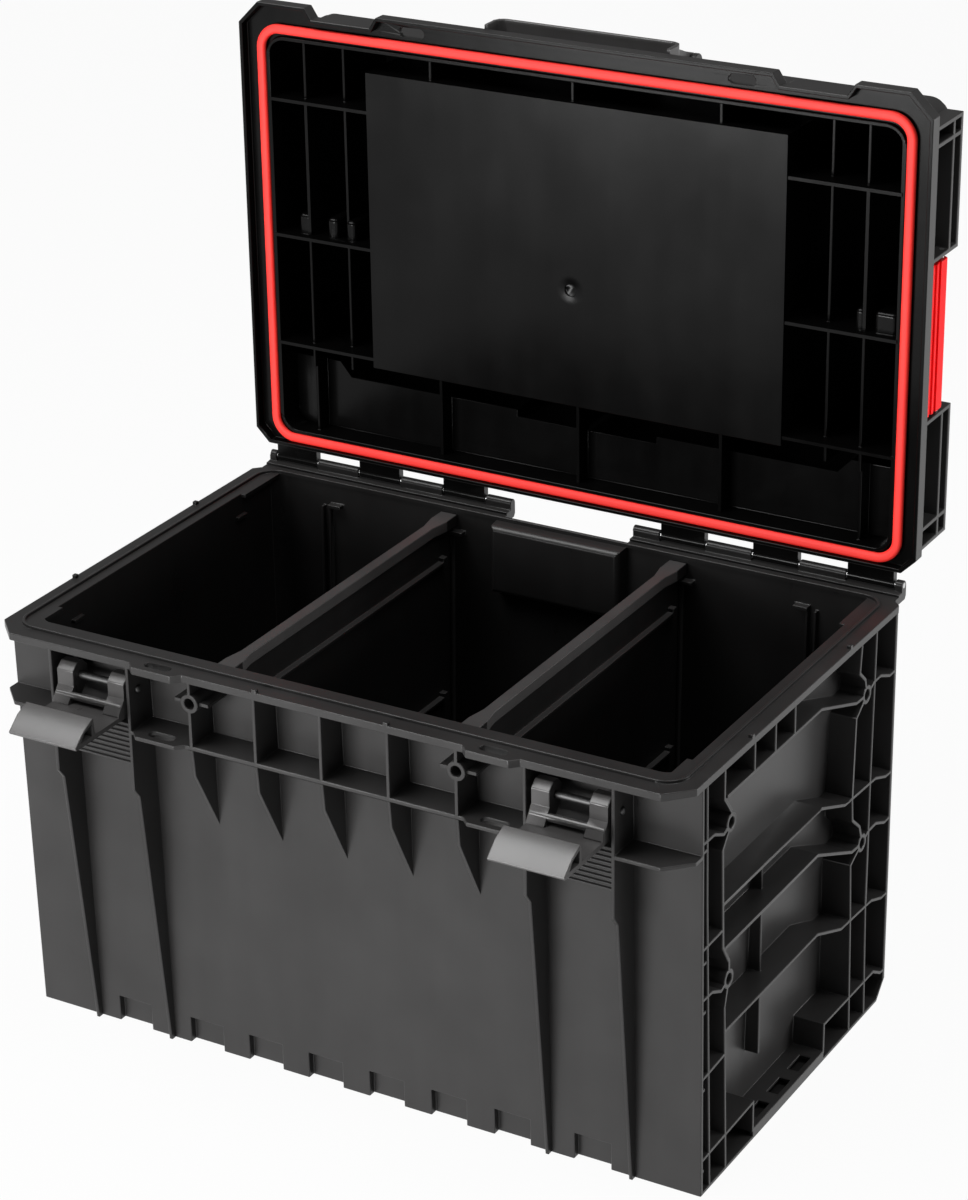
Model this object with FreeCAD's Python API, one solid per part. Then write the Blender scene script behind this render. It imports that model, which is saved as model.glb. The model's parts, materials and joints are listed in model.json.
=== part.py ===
import FreeCAD, Part
import os
from FreeCAD import Vector

# Tool case with a hinged lid, standing open. The origin is the bottom centre of the base,
# +X points right as seen from the front, +Y to the hinges and +Z up. Sizes are millimetres.

# Base tub
case_width = 580.0
rim_height = 336.0
wall = 3.0
rib = 2.6
front_reach = 184.0
back_reach = 181.0
band_depth = 27.0
front_draft = 6.0
back_wall_inset = 3.0
back_draft = 9.0
side_inset = 19.5
side_draft = 6.5
heel_chamfer = 14.0
cavity_corner_radius = 12.0
half_width = case_width / 2
front_wall_top = front_reach - band_depth
back_wall_top = back_reach - back_wall_inset
rib_root_x = half_width - side_inset - side_draft - wall / 2
reach_past = 20.0

# Fits
running_clearance = 0.05
slide_clearance = 0.5
seal_clearance = 0.4

# Rim flange and sealing tongue
flange_thickness = 6.0
front_corner_chamfer = 18.0
back_corner_chamfer = 10.0
tongue_inset = 12.6
tongue_front_inset = 14.5
tongue_back_inset = 6.5
tongue_radius = 17.0
tongue_thickness = 2.4
tongue_height = 2.2
ledge_tab_reach = 4.0
ledge_tab_front_length = 26.0
ledge_tab_back_length = 54.0
nub_front_x = 55.0
nub_side_places = (-78.0, 86.0)
nub_length = 4.0
nub_depth = 3.5
nub_height = 2.5
flange_under = rim_height - flange_thickness
tongue_half_width = half_width - tongue_inset
tongue_front = front_reach - tongue_front_inset
tongue_back = back_reach - tongue_back_inset

# Latch pockets, levers and pins
latch_inset = 89.0
pocket_width = 69.0
latch_pin_setback = 11.5
latch_pin_drop = 26.5
latch_pin_radius = 3.0
latch_pin_proud = 0.5
latch_width = 60.0
latch_lug_width = 14.5
latch_bar_radius = 3.0
latch_plate_clearance = 6.5
latch_plate_thickness = 3.5
latch_lip_length = 23.5
hook_gap = 2.0
hook_overlap = 4.4
catch_height = 20.0
catch_half_width = 24.5
grip_panel_drop = 53.0
grip_panel_height = 32.5
grip_ridge_pitch = 4.0
grip_ridge_depth = 2.0
grip_ridge_height = 1.8
latch_x = half_width - latch_inset
latch_pin_y = latch_pin_setback - front_reach
latch_pin_z = rim_height - latch_pin_drop
pocket_sides = (latch_x - pocket_width / 2, latch_x + pocket_width / 2)

# Padlock slots in the rim, the ledge below it and the lid
padlock_offset = 60.5
padlock_setback = 4.1
padlock_length = 22.0
padlock_width = 8.0
padlock_bulge_length = 46.0
padlock_bulge_tip_length = 34.0
padlock_bulge_reach = 6.0
padlock_x = latch_x - padlock_offset
padlock_y = padlock_setback - front_reach

# Front band under the rim
ledge_drop = 56.5
band_rib_pitch = 56.0
gusset_height = 79.5
gusset_knee_drop = 25.0
gusset_knee_setback = 2.5
front_boss_drop = 22.0
boss_radius = 7.5
boss_bore_radius = 4.25
boss_bore_depth = 18.0
boss_web_reach = 15.0
tall_rib_knee_drop = 49.5
tall_rib_step = 6.0
tall_rib_step_height = 8.0
tall_rib_foot_reach = 5.0
ledge_top = rim_height - ledge_drop
band_ribs = (0.0, band_rib_pitch, 2 * band_rib_pitch)
front_boss_z = rim_height - front_boss_drop

# Notches in the front foot
foot_notch_places = (27.0, 81.0, 135.0, 202.0)
foot_notch_width = 30.0
foot_notch_height = 22.0
foot_notch_depth = 6.0

# Bosses, posts and ribs on the sides
upper_boss_drop = 51.0
boss_span_z = 125.0
front_boss_inset = 46.0
back_boss_inset = 53.0
panel_top_rise = 23.0
panel_foot_drop = 60.0
middle_rib_rise = 28.0
lower_rib_drop = 41.0
long_rib_ramp = 17.0
bracket_z = 32.0
bracket_front_end = -66.0
bracket_back_end = 57.0
sill_z = 9.0
side_back_inset = 11.0
run_out = 20.0
panel_tick_places = (-75.0, -41.5, -9.5)
shallow_rib_places = (-92.0, -30.0)
shallow_rib_depth = 8.0
sill_slot_places = (-40.0, -4.0, 32.0)
sill_slot_length = 22.0
sill_slot_width = 9.0
side_front = -front_wall_top
side_back = back_reach - side_back_inset
front_edge_y = side_front - run_out
back_edge_y = side_back + run_out
post_top = rim_height - rib
upper_boss_z = rim_height - upper_boss_drop
lower_boss_z = upper_boss_z - boss_span_z
front_boss_y = side_front + front_boss_inset
back_boss_y = side_back - back_boss_inset
panel_top_z = upper_boss_z + panel_top_rise
panel_foot_z = upper_boss_z - panel_foot_drop
middle_rib_z = lower_boss_z + middle_rib_rise
lower_rib_z = lower_boss_z - lower_rib_drop

# Dividers and their guides on the front and back walls
divider_x = 103.0
spare_guide_x = 218.0
divider_thickness = 4.0
divider_floor_gap = 0.3
divider_top_gap = 4.0
divider_end_gap = 0.8
divider_rail_width = 9.0
divider_rail_end_width = 15.0
divider_rail_end_length = 32.0
divider_rail_height = 9.0
divider_rib_depth = 5.0
divider_rib_drops = (39.0, 158.0)
divider_rib_margin = 14.0
divider_stop_length = 6.0
divider_stop_height = 9.0
guide_depth = 4.0
guide_thickness = 2.0
guide_drop = 20.0
guide_rest_length = 10.0
guide_rest_reach = 2.0
side_rest_places = (-107.0, 118.0)
side_rest_length = 13.0
side_rest_reach = 3.0

# Swell in the middle of the back wall
swell_half_width = 58.0
swell_depth = 15.0
swell_height = 58.0
swell_root = 0.5
swell_drop = 1.0
swell_radius = 5.0

# Hinges
hinge_standoff = 12.6
hinge_rise = 6.3
hinge_pin_radius = 2.25
hinge_pin_seat = 10.0
knuckle_radius = 3.8
knuckle_gap = 0.5
hinge_shelf_setback = 3.0
strap_edge_inset = 32.5
strap_pitch = 79.5
strap_width = 38.0
strap_gap = 1.5
inner_knuckle_length = 24.5
outer_knuckle_length = 7.5
hinge_y = back_reach + hinge_standoff
hinge_z = rim_height + hinge_rise
strap_places = tuple(half_width - strap_edge_inset - i * strap_pitch for i in (2, 1, 0))
hinge_inner_end = strap_places[0] - strap_width / 2 - inner_knuckle_length
hinge_outer_end = strap_places[-1] + strap_width / 2 + outer_knuckle_length

# Lid, by distance u in front of the hinge axis and height w over the rim, when closed
lid_overhang = 5.0
lid_setback = 2.6
lid_tab_reach = 9.0
lid_tab_gap = 2.5
lid_tab_slope = 6.0
lid_rear = 12.0
lid_front_chamfer = 18.0
lid_rear_chamfer = 12.0
lid_flange_under = 8.0
lid_flange_thickness = 4.0
lid_skirt = 3.0
lid_height = 84.0
lid_front_inset = 18.0
lid_rear_inset = 11.0
lid_side_inset = 22.0
lid_lip_gap = 5.0
lid_corner_radius = 16.0
rear_shelf_height = 31.0
rear_bay_length = 40.0
rear_bay_half_width = 65.0
rear_shelf_length = 46.0
rear_corner_length = 58.0
rear_corner_inset = 54.0
rear_corner_slant = 10.0
well_side_inset = 92.5
well_rear_inset = 71.5
well_front_inset = 18.5
well_gap = 3.0
gate_mark_radius = 5.0
gate_mark_depth = 1.2
lid_cross_rib_gap = 4.0
lid_cross_rib_inset = 7.0
lid_middle_rib_inset = 99.0
lid_front_rib_inset = 32.5
lid_post_inset = 31.0
lid_post_gap = 11.0
lid_inner_post_inset = 62.8
lid_inner_post_gap = 18.0
lid_tie_pitch = 124.5
lid_front_tie_gap = 7.0
lid_rear_tie_gap = 14.0
left_ridges = ((-26.0, 12.0), (-51.5, 9.5), (-68.5, 9.0))
right_ridges = ((-35.0, 8.0), (-14.5, 18.0))
ridge_rise = 18.0
ridge_gap = 12.0
ridge_radius = 3.5
seal_width = 7.6
seal_crown_radius = 3.0
lid_half_width = half_width + lid_overhang
lid_front = hinge_y + front_reach - lid_setback
lid_tab_front = lid_front + lid_tab_reach
lid_mid_tab_half = latch_x - latch_width / 2 - lid_tab_gap
lid_corner_tab_start = latch_x + latch_width / 2 + lid_tab_gap
lid_wall_front = lid_front - lid_front_inset
lid_wall_rear = lid_rear + lid_rear_inset
lid_wall_x = lid_half_width - lid_side_inset
well_half_width = lid_wall_x - well_side_inset
well_rear = lid_wall_rear + well_rear_inset
well_front = lid_wall_front - well_front_inset
lid_cross_ribs = (well_rear + lid_cross_rib_inset, well_rear + lid_middle_rib_inset,
                  well_front - lid_front_rib_inset)
lid_tie_places = (-lid_tie_pitch, 0.0, lid_tie_pitch)

# Stacking blocks and side latches on the lid
block_depth = 11.5
block_height = 82.0
block_wall = 3.5
block_foot = 12.0
block_shelf = 66.0
front_block_inset = 7.0
front_block_length = 104.0
front_block_web_inset = 15.0
rear_block_overhang = 6.0
rear_block_length = 105.0
rear_block_web_inset = 17.0
stack_latch_gap = 3.0
stack_latch_foot = 20.0
stack_latch_thickness = 6.0
stack_latch_hook = 2.5
stack_latch_hook_height = 4.0
stack_pivot_standoff = 7.0
stack_pivot_w = 62.0
stack_knuckle_radius = 4.5
stack_pin_radius = 2.0
stack_groove_width = 4.0
stack_groove_depth = 1.5
stack_groove_pitch = 8.0
block_x = lid_wall_x + block_depth
front_block = (lid_wall_front - front_block_inset - front_block_length, lid_wall_front - front_block_inset)
rear_block = (lid_wall_rear - rear_block_overhang, lid_wall_rear - rear_block_overhang + rear_block_length)
stack_pivot_x = lid_wall_x + stack_pivot_standoff

# Carry handle on the lid's front wall
handle_half_length = 79.0
handle_reach = 30.0
handle_thickness = 14.0
handle_lift = 1.0
handle_height = 22.0
handle_skin = 3.0
handle_corner_radius = 9.0
handle_arm_inset = 4.0
handle_arm_width = 9.0
handle_arm_thickness = 9.0
handle_pivot_reach = 9.0
handle_pivot_w = 58.0
handle_eye_radius = 7.0
handle_ear_width = 4.0
handle_ear_gap = 1.0
handle_pin_radius = 2.5
handle_face = lid_wall_front + handle_reach
handle_back = handle_face - handle_thickness
handle_foot = lid_flange_under + lid_flange_thickness + handle_lift
handle_top = handle_foot + handle_height
handle_pivot_u = lid_wall_front + handle_pivot_reach
handle_arm_x = handle_half_length - handle_arm_inset
handle_ear_x = handle_arm_x + handle_ear_gap


def front_face(z):
    """Y of the front wall's outer face at a height."""
    return front_draft * (1 - z / rim_height) - front_wall_top


def back_face(z):
    """Y of the back wall's outer face at a height."""
    return back_wall_top - back_draft * (1 - z / rim_height)


def side_face(z):
    """X of the right side wall's outer face at a height."""
    return half_width - side_inset - side_draft * (1 - z / rim_height)


def prism(points, travel):
    """Straight solid on a closed outline of 3-D points."""
    outline = Part.makePolygon(points + points[:1])
    return Part.Face(outline).extrude(travel)


def prism_x(points, x0, x1):
    """Solid on a (y, z) outline from x0 to x1."""
    return prism([Vector(x0, y, z) for y, z in points], Vector(x1 - x0, 0, 0))


def prism_y(points, y0, y1):
    """Solid on an (x, z) outline from y0 to y1."""
    return prism([Vector(x, y0, z) for x, z in points], Vector(0, y1 - y0, 0))


def prism_z(points, z0, z1):
    """Solid on an (x, y) outline from z0 to z1."""
    return prism([Vector(x, y, z0) for x, y in points], Vector(0, 0, z1 - z0))


def box(x0, x1, y0, y1, z0, z1):
    """Block between opposite corners."""
    return Part.makeBox(x1 - x0, y1 - y0, z1 - z0, Vector(x0, y0, z0))


def rod_x(y, z, radius, x0, x1):
    """Cylinder along X."""
    return Part.makeCylinder(radius, x1 - x0, Vector(x0, y, z), Vector(1, 0, 0))


def rod_y(x, z, radius, y0, y1):
    """Cylinder along Y."""
    return Part.makeCylinder(radius, y1 - y0, Vector(x, y0, z), Vector(0, 1, 0))


def rounded_slab(x0, x1, y0, y1, radius, z0, z1):
    """Block with rounded upright edges."""
    slab = box(x0, x1, y0, y1, z0, z1)
    upright = [e for e in slab.Edges if abs(e.Vertexes[0].Z - e.Vertexes[-1].Z) > (z1 - z0) / 2]
    return slab.makeFillet(radius, upright)


def slot_z(x, y, length, width, z0, z1):
    """Upright cutter for a round-ended slot along X."""
    reach = (length - width) / 2
    middle = box(x - reach, x + reach, y - width / 2, y + width / 2, z0, z1)
    ends = [Part.makeCylinder(width / 2, z1 - z0, Vector(end, y, z0)) for end in (x - reach, x + reach)]
    return joined([middle] + ends)


def mirrored(shape):
    """Copy of a right-hand shape on the left."""
    return shape.mirror(Vector(0, 0, 0), Vector(1, 0, 0))


def both_sides(shapes):
    """Right-hand shapes and their left-hand copies."""
    return shapes + [mirrored(shape) for shape in shapes]


def joined(shapes):
    """One solid from touching shapes."""
    return shapes[0].multiFuse(shapes[1:]).removeSplitter()


def ribbon(path, thickness):
    """Outline of a path in a plane given a thickness, with mitred corners."""
    normals = []
    for (a, b), (c, d) in zip(path, path[1:]):
        length = ((c - a) ** 2 + (d - b) ** 2) ** 0.5
        normals.append(((b - d) / length, (c - a) / length))
    upper, lower = [], []
    for i, (a, b) in enumerate(path):
        p = normals[max(i - 1, 0)]
        q = normals[min(i, len(normals) - 1)]
        scale = thickness / 2 / (1 + p[0] * q[0] + p[1] * q[1])
        step = ((p[0] + q[0]) * scale, (p[1] + q[1]) * scale)
        upper.append((a + step[0], b + step[1]))
        lower.append((a - step[0], b - step[1]))
    return upper + lower[::-1]


def flange_outline():
    """Plan of the base's rim flange, with the padlock bulges in front."""
    wide, tip = padlock_bulge_length / 2, padlock_bulge_tip_length / 2
    tip_y = -front_reach - padlock_bulge_reach
    right = [
        (padlock_x - wide, -front_reach),
        (padlock_x - tip, tip_y),
        (padlock_x + tip, tip_y),
        (padlock_x + wide, -front_reach),
        (half_width - front_corner_chamfer, -front_reach),
        (half_width, -front_reach + front_corner_chamfer),
        (half_width, back_reach - back_corner_chamfer),
        (half_width - back_corner_chamfer, back_reach),
    ]
    return right + [(-x, y) for x, y in reversed(right)]


def tub_cavity():
    """Space inside the tub, open past the rim."""
    top = rim_height + reach_past
    lengthwise = prism_x([
        (front_face(wall) + wall, wall),
        (front_face(top) + wall, top),
        (back_face(top) - wall, top),
        (back_face(heel_chamfer + wall) - wall, heel_chamfer + wall),
        (back_face(0) - heel_chamfer, wall),
    ], -half_width, half_width)
    foot_x, top_x = side_face(wall) - wall, side_face(top) - wall
    crosswise = prism_y([(-foot_x, wall), (foot_x, wall), (top_x, top), (-top_x, top)],
                        -front_reach, back_reach)
    space = lengthwise.common(crosswise).removeSplitter()
    corners = [e for e in space.Edges if abs(e.Vertexes[0].Z - e.Vertexes[-1].Z) > rim_height / 2]
    return space.makeFillet(cavity_corner_radius, corners)


def tub_walls():
    """Drafted block of the tub and the full-width front plate."""
    lengthwise = prism_x([
        (front_face(0), 0),
        (front_face(rim_height), rim_height),
        (back_face(rim_height), rim_height),
        (back_face(heel_chamfer), heel_chamfer),
        (back_face(0) - heel_chamfer, 0),
    ], -half_width, half_width)
    foot_x, top_x = side_face(0), side_face(rim_height)
    crosswise = prism_y([(-foot_x, 0), (foot_x, 0), (top_x, rim_height), (-top_x, rim_height)],
                        -front_reach, back_reach)
    front_plate = prism_x([
        (front_face(0), 0),
        (front_face(rim_height), rim_height),
        (front_face(rim_height) + wall, rim_height),
        (front_face(0) + wall, 0),
    ], -half_width, half_width)
    return [lengthwise.common(crosswise), front_plate]


def side_envelope():
    """Full-width block that the side ribs fill, from the front wall to the back corner."""
    return prism_x([
        (front_face(0), 0),
        (front_face(rim_height), rim_height),
        (side_back, rim_height),
        (side_back, heel_chamfer),
        (side_back - heel_chamfer, 0),
    ], -half_width, half_width)


def post_paths():
    """Upright posts of the right side as (y, z) paths on its outer edge, front to back."""
    f, b = side_front, side_back
    fy, by = front_boss_y, back_boss_y
    return [
        [(f + 8, post_top), (f + 10, panel_foot_z + long_rib_ramp), (f + 20, 0)],
        [(f + 35, post_top), (f + 35, panel_top_z), (fy, upper_boss_z + 9), (fy, upper_boss_z)],
        [(fy, upper_boss_z), (f + 33, upper_boss_z - 16), (f + 36, middle_rib_z + 2),
         (fy, lower_boss_z + 14), (fy, lower_boss_z)],
        [(fy, lower_boss_z), (f + 40, lower_boss_z - 20), (f + 41, lower_rib_z), (f + 46, 0)],
        [(b - 64, post_top), (b - 67, panel_top_z), (by - 4, upper_boss_z + 14), (by, upper_boss_z)],
        [(by, upper_boss_z), (b - 71, upper_boss_z - 12), (b - 74, panel_foot_z - 16),
         (b - 72, middle_rib_z), (by - 6, lower_boss_z + 17), (by, lower_boss_z)],
        [(by, lower_boss_z), (b - 73, lower_boss_z - 10), (b - 70, lower_rib_z - long_rib_ramp),
         (b - 66, 0)],
        [(b - 38, post_top), (b - 41, panel_foot_z - long_rib_ramp),
         (b - 42, lower_rib_z - long_rib_ramp), (b - 38, 0)],
    ]


def long_rib(front_y, z):
    """Long side rib that steps down on its way to the back edge."""
    low = z - long_rib_ramp
    return [(front_y, z), (side_back - 130, z), (side_back - 87, low), (side_back - 31, low - 3),
            (side_back - 12, low - 10), (back_edge_y, low - 12)]


def boss_rib(front_y, boss_z, z):
    """Long side rib that ramps down into a back boss."""
    return [(front_y, z), (side_back - 134, z), (side_back - 72, boss_z + 1), (back_boss_y, boss_z)]


def front_boss_rib(boss_z):
    """Short rib from the front edge to a front boss."""
    return [(front_edge_y, boss_z + 3.5), (side_front + 20, boss_z + 2.5),
            (side_front + 34, boss_z - 4), (front_boss_y, boss_z)]


def back_boss_rib(boss_z):
    """Short rib from a back boss to the back edge."""
    return [(back_boss_y, boss_z), (side_back - 40, boss_z + 5), (side_back - 28, boss_z + 5),
            (side_back - 11, boss_z - 2), (back_edge_y, boss_z - 2)]


def rib_paths():
    """Lying ribs of the right side as (y, z) paths on its outer edge."""
    f = side_front
    paths = [
        boss_rib(f + 39, upper_boss_z, panel_top_z),
        long_rib(f + 36, panel_foot_z),
        boss_rib(f + 39, lower_boss_z, middle_rib_z),
        long_rib(f + 41, lower_rib_z),
        [(front_edge_y, panel_foot_z - 22), (f + 36, panel_foot_z - 20.5)],
        [(front_edge_y, lower_rib_z - 23), (f + 43, lower_rib_z - 19)],
        [(front_edge_y, bracket_z - 4), (f + 22, bracket_z - 2), (bracket_front_end, bracket_z),
         (bracket_front_end, sill_z - rib)],
        [(bracket_back_end, sill_z - rib), (bracket_back_end, bracket_z),
         (side_back - 22, bracket_z - 1), (side_back - 8, bracket_z - 9), (back_edge_y, bracket_z - 11)],
        [(front_edge_y, rib / 2), (side_back - heel_chamfer, rib / 2), (side_back, heel_chamfer + rib / 2)],
    ]
    for z in (lower_boss_z, upper_boss_z):
        paths += [front_boss_rib(z), back_boss_rib(z)]
    stubs = (upper_boss_z - 4, middle_rib_z + 4, lower_boss_z - 8, lower_rib_z - 31, bracket_z - 12)
    paths += [[(front_edge_y, z), (f + 10, z)] for z in stubs]
    paths += [[(y, panel_top_z), (y, post_top)] for y in panel_tick_places]
    return paths


def side_ribs():
    """Ribs, posts, bosses and sill on the right side, cut to the depth of the side."""
    paths = post_paths() + rib_paths()
    shapes = [prism_x(ribbon(path, rib), rib_root_x, half_width) for path in paths]
    spans = ((bracket_z + 2 * sill_z, middle_rib_z), (bracket_z + 2 * sill_z, panel_foot_z))
    for y, (z0, z1) in zip(shallow_rib_places, spans):
        depth_x = side_face(z1) + shallow_rib_depth
        shapes.append(box(rib_root_x, depth_x, y - rib / 2, y + rib / 2, z0, z1))
    for y in (front_boss_y, back_boss_y):
        for z in (lower_boss_z, upper_boss_z):
            shapes.append(rod_x(y, z, boss_radius, rib_root_x, half_width))
    shapes.append(box(rib_root_x, half_width, bracket_front_end, bracket_back_end, sill_z - rib, sill_z))
    shapes.append(box(half_width - wall, half_width, bracket_front_end, bracket_back_end, 0, sill_z))
    shapes.append(box(rib_root_x, half_width, side_back - wall, side_back, 0, post_top))
    ribs = joined(shapes).common(side_envelope())
    return ribs.cut(joined(side_cutters()))


def side_cutters():
    """Boss bores and sill slots on the right side."""
    cutters = []
    for y in (front_boss_y, back_boss_y):
        for z in (lower_boss_z, upper_boss_z):
            cutters.append(rod_x(y, z, boss_bore_radius, half_width - boss_bore_depth, half_width + 1))
    slot_x = half_width - sill_slot_width
    for y in sill_slot_places:
        cutters.append(box(slot_x - sill_slot_width / 2, slot_x + sill_slot_width / 2,
                           y - sill_slot_length / 2, y + sill_slot_length / 2, sill_z - rib - 1, sill_z + 1))
    return cutters


def upright_rib(x, points):
    """Front rib on a (y, z) outline, centred on x."""
    return prism_x(points, x - rib / 2, x + rib / 2)


def band_rib(x):
    """Rib between the ledge and the rim flange."""
    root = front_face(ledge_top) + 1
    return upright_rib(x, [
        (-front_reach, ledge_top - 1),
        (-front_reach, flange_under + 1),
        (root, flange_under + 1),
        (root, ledge_top - 1),
    ])


def gusset(x):
    """Pointed rib below the ledge."""
    return upright_rib(x, [
        (-front_reach, ledge_top - 1),
        (front_face(ledge_top) + 1, ledge_top - 1),
        (front_face(ledge_top - gusset_height) + 1, ledge_top - gusset_height),
        (-front_reach + gusset_knee_setback, ledge_top - gusset_knee_drop),
    ])


def tall_rib(x):
    """Latch pocket wall that runs down to the foot."""
    knee = ledge_top - tall_rib_knee_drop
    return upright_rib(x, [
        (-front_reach, flange_under + 1),
        (-front_reach, knee),
        (-front_reach + tall_rib_step, knee - tall_rib_step_height),
        (front_face(0) - tall_rib_foot_reach, 0),
        (front_face(0) + 1, 0),
        (front_face(rim_height) + 1, flange_under + 1),
    ])


def ledge(x0, x1):
    """Stretch of the ledge that runs under the rim flange."""
    slab = prism_z(flange_outline(), ledge_top - wall, ledge_top)
    return slab.common(box(x0, x1, -front_reach - reach_past, front_face(ledge_top) + 1,
                           ledge_top - wall, ledge_top))


def grip_panel():
    """Ridged finger panel below the right latch, open underneath."""
    x0, x1 = pocket_sides[0], pocket_sides[1]
    top = rim_height - grip_panel_drop
    foot = top - grip_panel_height
    face = -front_reach + 2 * grip_ridge_depth
    shapes = [
        box(x0, x1, face, face + wall, foot, top),
        box(x0, x1, face, front_face(top) + 1, top - wall, top),
    ]
    count = int((grip_panel_height - grip_ridge_height) / grip_ridge_pitch) + 1
    for i in range(count):
        z = foot + i * grip_ridge_pitch
        shapes.append(box(x0, x1, face - grip_ridge_depth, face + 1, z, z + grip_ridge_height))
    return shapes


def front_boss():
    """Screw boss in the band on the right, with its cross web."""
    x = band_ribs[-1]
    root = front_face(front_boss_z) + 1
    return [
        rod_y(x, front_boss_z, boss_radius, -front_reach, root),
        box(x - boss_web_reach, x + boss_web_reach, -front_reach + wall, root,
            front_boss_z - rib / 2, front_boss_z + rib / 2),
    ]


def foot_notch_wells():
    """Inner walls behind the notches in the front foot."""
    half = foot_notch_width / 2 + wall
    inner = front_face(0) + foot_notch_depth + wall
    return [box(x - half, x + half, front_face(0) + 1, inner, 0, foot_notch_height + wall)
            for x in foot_notch_places]


def foot_notch_cutters():
    """Notches in the front foot."""
    half = foot_notch_width / 2
    return [box(x - half, x + half, -front_reach, front_face(0) + foot_notch_depth, -1, foot_notch_height)
            for x in foot_notch_places]


def guide_pair(x):
    """Two guide ribs on the front wall and two on the back wall."""
    shapes = []
    top = rim_height - guide_drop
    near = divider_thickness / 2 + slide_clearance
    for start in (x - near - guide_thickness, x + near):
        end = start + guide_thickness
        front_in = [front_face(z) + wall for z in (wall, top)]
        back_in = [back_face(z) - wall for z in (heel_chamfer + wall, top)]
        shapes.append(prism_x([
            (front_in[0] - 1, wall - 1), (front_in[1] - 1, top),
            (front_in[1] + guide_depth, top), (front_in[0] + guide_depth, wall - 1)], start, end))
        shapes.append(prism_x([
            (back_in[0] + 1, heel_chamfer), (back_in[1] + 1, top),
            (back_in[1] - guide_depth, top), (back_in[0] - guide_depth, heel_chamfer)], start, end))
    return shapes


def guide_rest(x, side):
    """Small rest at the top of a guide rib on the back wall, on one side of the slot at x."""
    top = rim_height - guide_drop
    near = divider_thickness / 2 + slide_clearance
    far = near + guide_thickness + guide_rest_length
    inner = back_face(top) - wall
    x0, x1 = sorted((x + side * near, x + side * far))
    return box(x0, x1, inner - guide_depth - guide_rest_reach, inner + 1, top, top + wall)


def side_rests():
    """Small rests on the right side wall, below the rim."""
    top = rim_height - guide_drop
    inner = side_face(top) - wall
    half = side_rest_length / 2
    return [box(inner - side_rest_reach, inner + 1, y - half, y + half, top, top + wall)
            for y in side_rest_places]


def rim_nubs():
    """Small nubs on the outer edge of the rim, on the front and the right side."""
    half = nub_length / 2
    z0, z1 = rim_height - 1, rim_height + nub_height
    nubs = [box(nub_front_x - half, nub_front_x + half, -front_reach, -front_reach + nub_depth, z0, z1)]
    return nubs + [box(half_width - nub_depth, half_width, y - half, y + half, z0, z1)
                   for y in nub_side_places]


def back_swell():
    """Rounded swell in the upper middle of the back wall."""
    top = rim_height - swell_drop
    inner = back_face(top) - wall
    swell = box(-swell_half_width, swell_half_width, inner - swell_depth, inner + swell_root,
                top - swell_height, top)
    front = [e for e in swell.Edges
             if all(abs(v.Y - (inner - swell_depth)) < 0.01 for v in e.Vertexes)]
    return swell.makeFillet(swell_radius, front)


def ledge_tabs():
    """Inward tabs at the front and back ends of the right rim ledge."""
    inner = side_face(rim_height) - wall
    front, back = front_face(rim_height) + wall, back_face(rim_height) - wall
    ends = ((front - 1, front + ledge_tab_front_length), (back - ledge_tab_back_length, back + 1))
    return [box(inner - ledge_tab_reach, inner + 1, y0, y1, rim_height - wall, rim_height)
            for y0, y1 in ends]


def tongue():
    """Ridge on the rim that meets the lid's seal."""
    half, side = tongue_thickness / 2, tongue_half_width
    top = rim_height + tongue_height
    ring = rounded_slab(-side - half, side + half, -tongue_front - half, tongue_back + half,
                        tongue_radius + half, rim_height - 1, top)
    return ring.cut(rounded_slab(-side + half, side - half, -tongue_front + half, tongue_back - half,
                                 tongue_radius - half, rim_height - 2, top + 1))


def hinge_stretches():
    """X spans of the base's knuckles on the right, between and outside the lid's straps."""
    starts = [hinge_inner_end] + [x + strap_width / 2 + strap_gap for x in strap_places]
    ends = [x - strap_width / 2 - strap_gap for x in strap_places] + [hinge_outer_end]
    return list(zip(starts, ends))


def base_knuckle(x0, x1):
    """One base knuckle and the web that carries it."""
    web = box(x0, x1, hinge_y - knuckle_radius, hinge_y + knuckle_radius, flange_under + wall, hinge_z)
    return web.fuse(rod_x(hinge_y, hinge_z, knuckle_radius, x0, x1))


def hinge_shelf():
    """Shelf behind the rim that carries the right knuckles and runs on under the lid's straps."""
    top = hinge_z - knuckle_radius - knuckle_gap
    return prism_x([
        (back_reach - wall, flange_under),
        (hinge_y + knuckle_radius / 2, flange_under),
        (hinge_y + knuckle_radius, flange_under + wall),
        (hinge_y + knuckle_radius, top),
        (back_reach + hinge_shelf_setback, top),
        (back_reach + hinge_shelf_setback, rim_height),
        (back_reach - wall, rim_height),
    ], hinge_inner_end, hinge_outer_end)


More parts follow.
